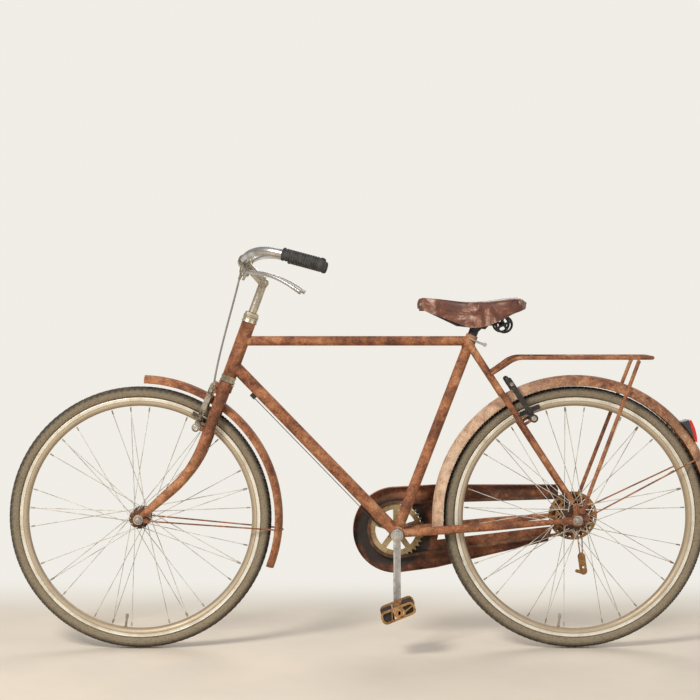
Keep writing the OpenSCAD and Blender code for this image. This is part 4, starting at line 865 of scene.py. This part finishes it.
# Saddle: leather stretched over its frame, with turned-down skirts and rivets
saddleShape = {"nose": -0.182, "length": 0.283, "top": 0.007, "noseRound": 0.024, "hip": 0.052,
               "halfWidth": 0.100, "wall": 0.0042, "spine": (0.036, 0.226), "crown": 0.0012}
# top and skirt heights along the saddle, in millimetres from its nose and its top
saddleTop = [(0, -13), (4, -4), (16, -1), (50, -3), (125, -12), (190, -9), (240, -2), (262, 0), (275, -5),
             (283, -16)]
saddleSkirt = [(0, -30), (26, -38), (76, -58), (138, -81), (175, -78), (205, -62), (257, -39), (283, -30)]
# how far each ring reaches out, and how much of the way to the skirt it drops
saddleRings = [(0.0, 0.0), (0.25, 0.003), (0.5, 0.008), (0.68, 0.018), (0.81, 0.036), (0.90, 0.070),
               (0.96, 0.125), (0.99, 0.20), (1.0, 0.32), (1.0, 0.48), (0.995, 0.66), (0.985, 0.84),
               (0.975, 1.0)]


def heightAt(line, along):
    along = min(max(along * 1000, line[0][0]), line[-1][0])
    for (x0, z0), (x1, z1) in zip(line, line[1:]):
        if along <= x1:
            share = (along - x0) / (x1 - x0)
            smooth = share * share * (3 - 2 * share)
            return (z0 + (z1 - z0) * (0.5 * share + 0.5 * smooth)) / 1000
    return line[-1][1] / 1000


def saddleOutline():
    nose, hip, length, wide = (saddleShape[key] for key in ("noseRound", "hip", "length", "halfWidth"))
    side = [(nose - nose * math.cos(math.radians(a)), nose * math.sin(math.radians(a)))
            for a in range(0, 88, 11)]
    side += [(0.050, 0.0262), (0.080, 0.0292), (0.110, 0.0345), (0.138, 0.0465), (0.165, 0.0660),
             (0.188, 0.0835)]
    side += [(length - hip + hip * math.cos(math.radians(a)), wide - hip + hip * math.sin(math.radians(a)))
             for a in range(108, -1, -12)]
    side += [(length, 0.024)]
    return side + [(length, 0.0)] + [(x, -y) for x, y in reversed(side)][:-1]


def makeSaddle():
    outline = saddleOutline()
    vertices, faces = [], []
    for reach, drop in saddleRings:
        for x, y in outline:
            spine = min(max(x, saddleShape["spine"][0]), saddleShape["spine"][1])
            px, py = spine + reach * (x - spine), reach * y
            top, skirt = heightAt(saddleTop, px), heightAt(saddleSkirt, x)
            crown = -saddleShape["crown"] * math.cos(reach * math.pi) * (1 - drop)
            height = saddleShape["top"] + top + crown + drop * (skirt - top)
            vertices.append((saddleShape["nose"] + px, py, height))
    count = len(outline)
    for ring in range(len(saddleRings) - 1):
        for spot in range(count):
            nextSpot = (spot + 1) % count
            faces.append((ring * count + spot, ring * count + nextSpot, (ring + 1) * count + nextSpot,
                          (ring + 1) * count + spot))
    mesh = bpy.data.meshes.new("saddle_leather")
    mesh.from_pydata(vertices, [], faces)
    piece = bpy.data.objects.new("saddle_leather", mesh)
    scene.collection.objects.link(piece)
    selectOnly(piece)
    bpy.ops.object.mode_set(mode="EDIT")
    turnOutward(0.0003)
    if sum(face.normal.z * face.area for face in piece.data.polygons) < 0:
        bpy.ops.object.mode_set(mode="EDIT")
        bpy.ops.mesh.select_all(action="SELECT")
        bpy.ops.mesh.flip_normals()
        bpy.ops.object.mode_set(mode="OBJECT")
    useModifier(piece, "SUBSURF", levels=2, render_levels=2)
    useModifier(piece, "SOLIDIFY", thickness=saddleShape["wall"], offset=-1.0)
    finishPiece(piece, "frame", saddleHide, 60)
    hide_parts("saddle")


makeSaddle()


def makeRivets():
    rings = [(0.0, 0.0018), (0.0022, 0.0015), (0.0037, 0.0006), (0.0043, -0.0008)]
    rivet = turnedPiece("rivet", rings, (0, 0, 0), (0, 0, 1), (1, 0, 0), 14)
    group = []
    places = [((0.2834, y, -0.0155), (1, 0, 0.15)) for y in (-0.036, -0.013, 0.013, 0.036)]
    places += [((0.262, side * 0.0955, -0.013), (0.55, side * 0.82, 0.2)) for side in (-1, 1)]
    places += [((0.008, side * 0.0188, -0.019), (-0.75, side * 0.66, 0)) for side in (-1, 1)]
    for (x, y, z), along in places:
        twin = copyPiece(rivet, "rivet")
        settleAt(twin, (saddleShape["nose"] + x, y, saddleShape["top"] + z), along)
        group.append(twin)
    bpy.data.objects.remove(rivet)
    rivets = joinPieces("saddle_rivets", group)
    finishPiece(rivets, "frame", nippleBrass)


makeRivets()
print("saddle made")

# Grips: ribbed rubber sleeves with a domed end
gripShape = {"root": (-0.539, 0.237, 0.119), "turn": (0.940, 0.227, -0.254), "off": 0.013, "length": 0.110,
             "radius": 0.0150, "ribs": 13}


def makeGrip(name, node, side):
    turnX, turnY, turnZ = gripShape["turn"]
    along = Vector((turnX, side * turnY, turnZ)).normalized()
    rootX, rootY, rootZ = gripShape["root"]
    root = Vector((rootX, side * rootY, rootZ)) + along * gripShape["off"]
    across = along.cross(Vector((0, 0, 1))).normalized()
    radius, length = gripShape["radius"], gripShape["length"]
    rings = [(0.0114, -0.0006), (0.0162, -0.0006), (0.0170, 0.0010), (0.0168, 0.0040), (radius, 0.0062)]
    pitch = (length - 0.024) / gripShape["ribs"]
    for rib in range(gripShape["ribs"]):
        start = 0.0090 + rib * pitch
        rings += [(radius, start), (radius + 0.0011, start + 0.0010), (radius + 0.0011, start + pitch - 0.0026),
                  (radius, start + pitch - 0.0016)]
    rings += [(radius, length - 0.0130), (0.0166, length - 0.0110), (0.0171, length - 0.0080),
              (0.0168, length - 0.0040), (0.0150, length - 0.0010), (0.0100, length + 0.0002),
              (0.0, length + 0.0006)]
    grip = turnedPiece(name, rings, root, along, across, 40)
    finishPiece(grip, "steering", gripRubber, 40)
    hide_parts(node)


makeGrip("grip_sleeve_left", "grip_left", -1)
makeGrip("grip_sleeve_right", "grip_right", 1)
print("grips made")

# Spoke protector: a thin rusty disc with two rows of openings behind the sprockets
spokeGuard = {"rings": [0.0225, 0.0300, 0.0345, 0.0410, 0.0465, 0.0575, 0.0612, 0.0645], "y": 0.0274,
              "wall": 0.0011, "lip": 0.0014, "steps": 72}
discRings = [(radius, spokeGuard["y"]) for radius in spokeGuard["rings"]]
discRings[-1] = (spokeGuard["rings"][-1], spokeGuard["y"] - spokeGuard["lip"])
disc = turnedPiece("spoke_guard_disc", discRings, rearAxle, steps=spokeGuard["steps"])
bpy.ops.object.mode_set(mode="EDIT")


def isOpening(centre, normal):
    reach = math.hypot(centre.x - rearAxle.x, centre.z - rearAxle.z)
    count = int(angleRound(rearAxle, centre) / (2 * math.pi / spokeGuard["steps"]))
    inner, outer = spokeGuard["rings"][2:4], spokeGuard["rings"][4:6]
    return (inner[0] < reach < inner[1] and count % 6 < 4) or (outer[0] < reach < outer[1] and count % 6 > 1)


facesWhere(disc, isOpening)
bpy.ops.mesh.delete(type="FACE")
bpy.ops.object.mode_set(mode="OBJECT")
useModifier(disc, "SOLIDIFY", thickness=spokeGuard["wall"], offset=0.0)
finishPiece(disc, "rear_wheel", discRust)
print("spoke guard made")

# Crank: fluted alloy arm with its boss, dust cap, pedal eye and the spindle to the chainring
crankShape = {"top": (-0.236, -0.051, -0.616), "long": 0.184, "thick": 0.0125, "width": 0.0190, "taper": 1.02,
              "lean": 4.0, "flute": 0.0042, "depth": 0.0028}


def makeCrank():
    arm = blockPiece("crank_arm", (crankShape["width"], crankShape["thick"], crankShape["long"]))
    bpy.ops.object.mode_set(mode="EDIT")
    bpy.ops.transform.translate(value=(0, 0, -crankShape["long"] / 2))
    bpy.ops.mesh.select_all(action="DESELECT")
    facesWhere(arm, lambda centre, normal: normal.z < -0.9)
    bpy.ops.transform.resize(value=(crankShape["taper"], 0.9, 1))
    facesWhere(arm, lambda centre, normal: normal.y < -0.9)
    bpy.ops.mesh.inset(thickness=crankShape["flute"])
    bpy.ops.transform.translate(value=(0, crankShape["depth"], 0))
    bpy.ops.mesh.select_all(action="SELECT")
    bpy.ops.mesh.bevel(offset=0.0016, segments=3, affect="EDGES")
    bpy.ops.object.mode_set(mode="OBJECT")
    arm.rotation_euler = (math.radians(-crankShape["lean"]), 0, 0)
    arm.location = crankShape["top"]
    bpy.ops.object.transform_apply(location=True, rotation=True, scale=True)
    centre = Vector((crankShape["top"][0], 0, crankShape["top"][2]))
    bossRings = [(0.0, 0.0430), (0.0150, 0.0430), (0.0170, 0.0445), (0.0170, 0.0600), (0.0160, 0.0622),
                 (0.0124, 0.0630), (0.0118, 0.0636), (0.0110, 0.0662), (0.0070, 0.0674), (0.0, 0.0676)]
    boss = turnedPiece("crank_boss", bossRings, centre, (0, -1, 0), steps=40)
    eye = Vector((centre.x, 0, centre.z - crankShape["long"]))
    eyeRings = [(0.0, 0.0580), (0.0118, 0.0580), (0.0132, 0.0594), (0.0132, 0.0724), (0.0118, 0.0738),
                (0.0078, 0.0741), (0.0074, 0.0792), (0.0, 0.0794)]
    ending = turnedPiece("crank_eye", eyeRings, eye, (0, -1, 0), steps=32)
    spindleRings = [(0.0, -0.0470), (0.0085, -0.0470), (0.0085, 0.0545), (0.0070, 0.0565), (0.0068, 0.0600),
                    (0.0, 0.0602)]
    spindle = turnedPiece("crank_spindle", spindleRings, centre, (0, 1, 0), steps=28)
    crank = joinPieces("crank_arm", [arm, boss, ending, spindle])
    finishPiece(crank, "crankset", dullChrome, 30)
    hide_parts("crank_left")


makeCrank()

# Pedal: two rusted plates, an open barrel and grooved rubber treads
pedalShape = {"centre": (-0.236, -0.1246, -0.800), "tilt": -22.0, "long": 0.092, "high": 0.034, "wide": 0.088,
              "plate": 0.0034, "corner": 0.0130, "border": 0.0056, "tread": (0.025, 0.078, 0.0255),
              "treadAt": 0.0285, "slices": 16, "rib": 0.0018}


def settlePedal(piece):
    piece.rotation_euler = (0, math.radians(pedalShape["tilt"]), 0)
    piece.location = pedalShape["centre"]
    selectOnly(piece)
    bpy.ops.object.transform_apply(location=True, rotation=True, scale=True)


def makePedalPlate():
    # an open plate with a ring and two webs in it
    plate = blockPiece("pedal_plate", (pedalShape["long"], pedalShape["plate"], pedalShape["high"]))
    bpy.ops.object.mode_set(mode="EDIT")
    edgesAlongY(plate)
    bpy.ops.mesh.bevel(offset=pedalShape["corner"], segments=7, affect="EDGES")
    facesWhere(plate, lambda centre, normal: abs(normal.y) > 0.9)
    bpy.ops.mesh.inset(thickness=pedalShape["border"])
    bpy.ops.mesh.delete(type="FACE")
    selectOpenEdges()
    bpy.ops.mesh.bridge_edge_loops()
    turnOutward()
    half = pedalShape["plate"] / 2
    eyeRings = [(0.0072, -half), (0.0118, -half), (0.0124, -half + 0.0006), (0.0124, half - 0.0006),
                (0.0118, half), (0.0072, half)]
    eye = turnedPiece("pedal_eye", eyeRings + [eyeRings[0]], (0.006, 0, -0.002), (0, 1, 0), steps=28)
    web = blockPiece("pedal_web", (0.0052, 0.0026, 0.032), 0.0006, 1)
    settleAt(web, (-0.017, 0, 0), (0.35, 0, 1))
    brace = blockPiece("pedal_brace", (0.0046, 0.0026, 0.026), 0.0006, 1)
    settleAt(brace, (0.029, 0, 0.001), (1, 0, 0.35))
    return joinPieces("pedal_plate", [plate, eye, web, brace])


def makePedalCage():
    plate = makePedalPlate()
    twin = copyPiece(plate, "pedal_plate")
    moveTo(plate, (0, -pedalShape["wide"] / 2, 0))
    moveTo(twin, (0, pedalShape["wide"] / 2, 0))
    barrelRings = [(0.0062, -0.0380), (0.0062, -0.0466), (0.0078, -0.0478), (0.0112, -0.0474),
                   (0.0120, -0.0455), (0.0120, -0.0300), (0.0092, -0.0270), (0.0088, 0.0280),
                   (0.0116, 0.0310), (0.0116, 0.0446), (0.0, 0.0448)]
    barrel = turnedPiece("pedal_barrel", barrelRings, (0, 0, 0), (0, 1, 0), steps=32)
    boltRings = [(0.0, 0.0446), (0.0080, 0.0446), (0.0080, 0.0462), (0.0, 0.0463)]
    endBolt = turnedPiece("pedal_bolt", boltRings, (0, 0, 0), (0, 1, 0), steps=6)
    metal = joinPieces("pedal_cage", [plate, twin, barrel, endBolt])
    settlePedal(metal)
    finishPiece(metal, "left_pedal", pedalRust, 30)
    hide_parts("pedal_left")


def makeTreads():
    # two rubber blocks with a rib in every other slice
    wide, slices = pedalShape["tread"][1], pedalShape["slices"]
    tread = blockPiece("pedal_tread", pedalShape["tread"])
    bpy.ops.object.mode_set(mode="EDIT")
    edgesAlongY(tread)
    bpy.ops.mesh.subdivide(number_cuts=slices - 1)

    def isRib(centre, normal):
        return abs(normal.y) < 0.5 and int((centre.y + wide / 2) / (wide / slices)) % 2 == 0

    facesWhere(tread, isRib)
    bpy.ops.mesh.extrude_region_shrink_fatten(TRANSFORM_OT_shrink_fatten={"value": pedalShape["rib"]})
    bpy.ops.mesh.select_all(action="SELECT")
    bpy.ops.mesh.remove_doubles(threshold=0.00002)
    bpy.ops.object.mode_set(mode="OBJECT")
    other = copyPiece(tread, "pedal_tread_rear")
    moveTo(tread, (-pedalShape["treadAt"], 0.0005, -0.001))
    moveTo(other, (pedalShape["treadAt"], 0.0005, -0.001))
    treads = joinPieces("pedal_treads", [tread, other])
    settlePedal(treads)
    finishPiece(treads, "left_pedal", treadRubber, 25)


treadRubber = rubberFinish("treadRubber", (0.020, 0.017, 0.014), (0.16, 0.10, 0.05))
makePedalCage()
makeTreads()
print("crank and pedal made")

# Saddle springs: wound coils with a cross in their eye
springShape = {"coil": (0.0435, 0.0372, -0.0640), "radius": 0.0205, "railEnd": (0.0080, 0.0385, -0.0635),
               "link": 0.0035, "wire": 0.0029, "turns": 2.75, "rise": 0.0160, "steps": 110}


def makeSpring(name, side):
    bpy.ops.object.select_all(action="DESELECT")
    bpy.ops.mesh.primitive_circle_add(vertices=10, radius=springShape["wire"],
                                      rotation=(math.pi / 2, 0, 0), location=(springShape["radius"], 0, 0))
    spring = bpy.context.object
    spring.name = name
    bpy.ops.object.transform_apply(location=True, rotation=True, scale=True)
    useModifier(spring, "SCREW", angle=2 * math.pi * springShape["turns"], screw_offset=springShape["rise"],
                steps=springShape["steps"], render_steps=springShape["steps"], use_merge_vertices=True,
                merge_threshold=0.00001)
    closeEnds(spring)
    group = [spring]
    for turn in (25, 115):
        bar = blockPiece("spring_bar", (0.033, 0.0062, 0.0026), 0.0009, 1)
        settleAt(bar, (0, 0, springShape["rise"] - 0.0022), (0, 0, 1), turn)
        group.append(bar)
    capRings = [(0.0, -0.0010), (0.0060, -0.0010), (0.0060, 0.0022), (0.0038, 0.0034), (0.0, 0.0036)]
    group.append(turnedPiece("spring_cap", capRings, (0, 0, springShape["rise"] - 0.0018), (0, 0, 1), steps=18))
    spring = joinPieces(name, group)
    x, y, z = springShape["coil"]
    settleAt(spring, (x, side * y, z), (0, side, 0))
    endX, endY, endZ = springShape["railEnd"]
    linkLine = [(endX - 0.006, side * endY, endZ), (endX + 0.004, side * endY, endZ - 0.0005),
                (x - springShape["radius"] + 0.001, side * endY, z)]
    spring = joinPieces(name, [spring, tubePiece("spring_link", linkLine, springShape["link"])])
    finishPiece(spring, "frame", blackSteel, 40)
    return spring


leftSpring = makeSpring("saddle_spring_left", -1)
makeSpring("saddle_spring_right", 1)
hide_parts("saddle_springs")
print("springs made")

# Bolts, nuts and washers. One hexagon bolt and one domed nut are modelled and copied.
boltRows = [
    # name, body, place, direction, scale
    ("front_brake_bolt_left", "steering", (-0.7634, -0.0489, -0.3341), (0, -1, 0), 1.15),
    ("front_brake_bolt_right", "steering", (-0.7634, 0.0489, -0.3341), (0, 1, 0), 1.15),
    ("front_arm_bolt_left", "steering", (-0.7235, -0.0489, -0.2365), (0, -1, 0), 0.85),
    ("front_arm_bolt_right", "steering", (-0.7235, 0.0489, -0.2365), (0, 1, 0), 0.85),
    ("rear_brake_bolt_left", "frame", (0.1224, -0.0511, -0.3101), (0, -1, 0), 1.15),
    ("rear_brake_bolt_right", "frame", (0.1224, 0.0511, -0.3101), (0, 1, 0), 1.15),
    ("rear_arm_bolt_left", "frame", (0.0636, -0.0511, -0.2202), (0, -1, 0), 0.85),
    ("rear_arm_bolt_right", "frame", (0.0636, 0.0511, -0.2202), (0, 1, 0), 0.85),
    ("quill_bolt", "steering", (-0.5848, 0, 0.0590), (0.3453, 0, 0.9385), 0.95),
    ("bar_clamp_bolt", "steering", (-0.6415, -0.0088, 0.0790), (0, -1, 0), 0.8),
]


def makeBolt():
    bpy.ops.object.select_all(action="DESELECT")
    bpy.ops.mesh.primitive_cylinder_add(vertices=6, radius=0.0068, depth=0.0052, location=(0, 0, 0.0040))
    head = bpy.context.object
    bpy.ops.object.mode_set(mode="EDIT")
    bpy.ops.mesh.select_all(action="SELECT")
    bpy.ops.mesh.bevel(offset=0.0007, segments=2, affect="EDGES")
    facesWhere(head, lambda centre, normal: normal.z > 0.99)
    bpy.ops.mesh.inset(thickness=0.0010)
    bpy.ops.transform.translate(value=(0, 0, -0.0004))
    bpy.ops.object.mode_set(mode="OBJECT")
    washerRings = [(0.0, 0.0), (0.0082, 0.0), (0.0086, 0.0004), (0.0086, 0.0012), (0.0080, 0.0016),
                   (0.0, 0.0016)]
    washer = turnedPiece("washer", washerRings, (0, 0, 0), (0, 0, 1), steps=24)
    return joinPieces("bolt", [head, washer])


bolt = makeBolt()
for name, body, place, along, size in boltRows:
    twin = copyPiece(bolt, name)
    twin.data.transform(Matrix.Scale(size, 4))
    settleAt(twin, place, along)
    finishPiece(twin, body, nutSteel, 30)
bpy.data.objects.remove(bolt)

nutRows = [("front_nut_left", "steering", frontAxle, -1, 0.0585),
           ("front_nut_right", "steering", frontAxle, 1, 0.0585),
           ("rear_nut_left", "frame", rearAxle, -1, 0.0740), ("rear_nut_right", "frame", rearAxle, 1, 0.0740)]
nutRings = [(0.0, 0.0), (0.0122, 0.0), (0.0128, 0.0006), (0.0128, 0.0016), (0.0098, 0.0020),
            (0.0098, 0.0062), (0.0088, 0.0082), (0.0078, 0.0090), (0.0076, 0.0108), (0.0058, 0.0130),
            (0.0030, 0.0140), (0.0, 0.0142)]
for name, body, axle, side, reach in nutRows:
    nut = turnedPiece(name, nutRings, axle + Vector((0, side * reach, 0)), (0, side, 0), steps=30)
    finishPiece(nut, body, nutSteel, 30)
print("bolts made")

# Headset: a rounded ring under the locknut and another on the crown
headsetRows = [("headset_ring", (-0.6260, 0, -0.0593), 0.0170, 0.0206),
               ("crown_race", (-0.6781, 0, -0.2010), -0.0205, 0.0214)]
for name, foot, reach, radius in headsetRows:
    ringSection = [(0.0152, -0.0022), (radius - 0.0012, -0.0022), (radius, -0.0012), (radius, 0.0012),
                   (radius - 0.0012, 0.0022), (0.0152, 0.0022)]
    ring = turnedPiece(name, ringSection + [ringSection[0]], Vector(foot) + steerUp * reach, steerUp,
                       (0, 1, 0), 36)
    finishPiece(ring, "steering", brassCups, 30)

# Quick lever behind the seat collar
collarLine = [(-0.0450, -0.0190, -0.0990), (-0.0330, -0.0205, -0.1060), (-0.0180, -0.0205, -0.1130),
              (-0.0050, -0.0200, -0.1175)]
leverParts = []
for here, there in zip(collarLine, collarLine[1:]):
    span = Vector(there) - Vector(here)
    rings = [(0.0, 0.0), (0.0030, 0.0), (0.0028, span.length), (0.0, span.length)]
    leverParts.append(turnedPiece("collar_lever", rings, here, span.normalized(), (0, 1, 0), 12))
endRings = [(0.0, -0.0035), (0.0050, -0.0030), (0.0058, 0.0), (0.0050, 0.0030), (0.0, 0.0035)]
leverParts.append(turnedPiece("collar_end", endRings, collarLine[-1], (0, 1, 0), steps=18))
finishPiece(joinPieces("collar_lever", leverParts), "frame", nutSteel, 40)
print("small fittings made")

# The floor keeps the shadow near the bicycle and turns into the pale backdrop behind it
floorShape = {"size": 60, "drop": 0.0005, "light": (0.72, 0.63, 0.51), "dark": (0.66, 0.585, 0.49),
              "stain": 2.4, "fadeFrom": 0.35, "fadeTo": 1.1}
bpy.ops.object.select_all(action="DESELECT")
bpy.ops.mesh.primitive_plane_add(size=floorShape["size"], location=(0, 0, cadLow.z - floorShape["drop"]))
floor = bpy.context.object
floor.name = "floor"
floorFinish, floorTree, floorShader, floorCoords = startMaterial("floorFinish", Roughness=0.9)
floorStain = noiseOf(floorTree, floorCoords, floorShape["stain"], 6, 0.6)
floorTone = rampOf(floorTree, floorStain, [(0.35, floorShape["light"]), (0.65, floorShape["dark"])])
floorTree.links.new(floorTone, floorShader.inputs["Base Color"])
floorFade = addNode(floorTree, "ShaderNodeMapRange", interpolation_type="SMOOTHSTEP")
floorFade.inputs["From Min"].default_value = floorShape["fadeFrom"]
floorFade.inputs["From Max"].default_value = floorShape["fadeTo"]
floorTree.links.new(axisOf(floorTree, floorCoords, "Y"), floorFade.inputs["Value"])
floorRays = addNode(floorTree, "ShaderNodeLightPath")
seenRay = calc(floorTree, "MAXIMUM", floorRays.outputs["Is Camera Ray"], floorRays.outputs["Is Glossy Ray"])
seenFade = calc(floorTree, "MULTIPLY", floorFade.outputs[0], seenRay)
floorGlow = addNode(floorTree, "ShaderNodeEmission")
floorGlow.inputs["Color"].default_value = (*studioShape["wall"], 1)
floorBlend = addNode(floorTree, "ShaderNodeMixShader")
floorTree.links.new(seenFade, floorBlend.inputs[0])
floorTree.links.new(floorShader.outputs[0], floorBlend.inputs[1])
floorTree.links.new(floorGlow.outputs[0], floorBlend.inputs[2])
floorTree.links.new(floorBlend.outputs[0], floorTree.nodes["Material Output"].inputs["Surface"])
floor.data.materials.append(floorFinish)
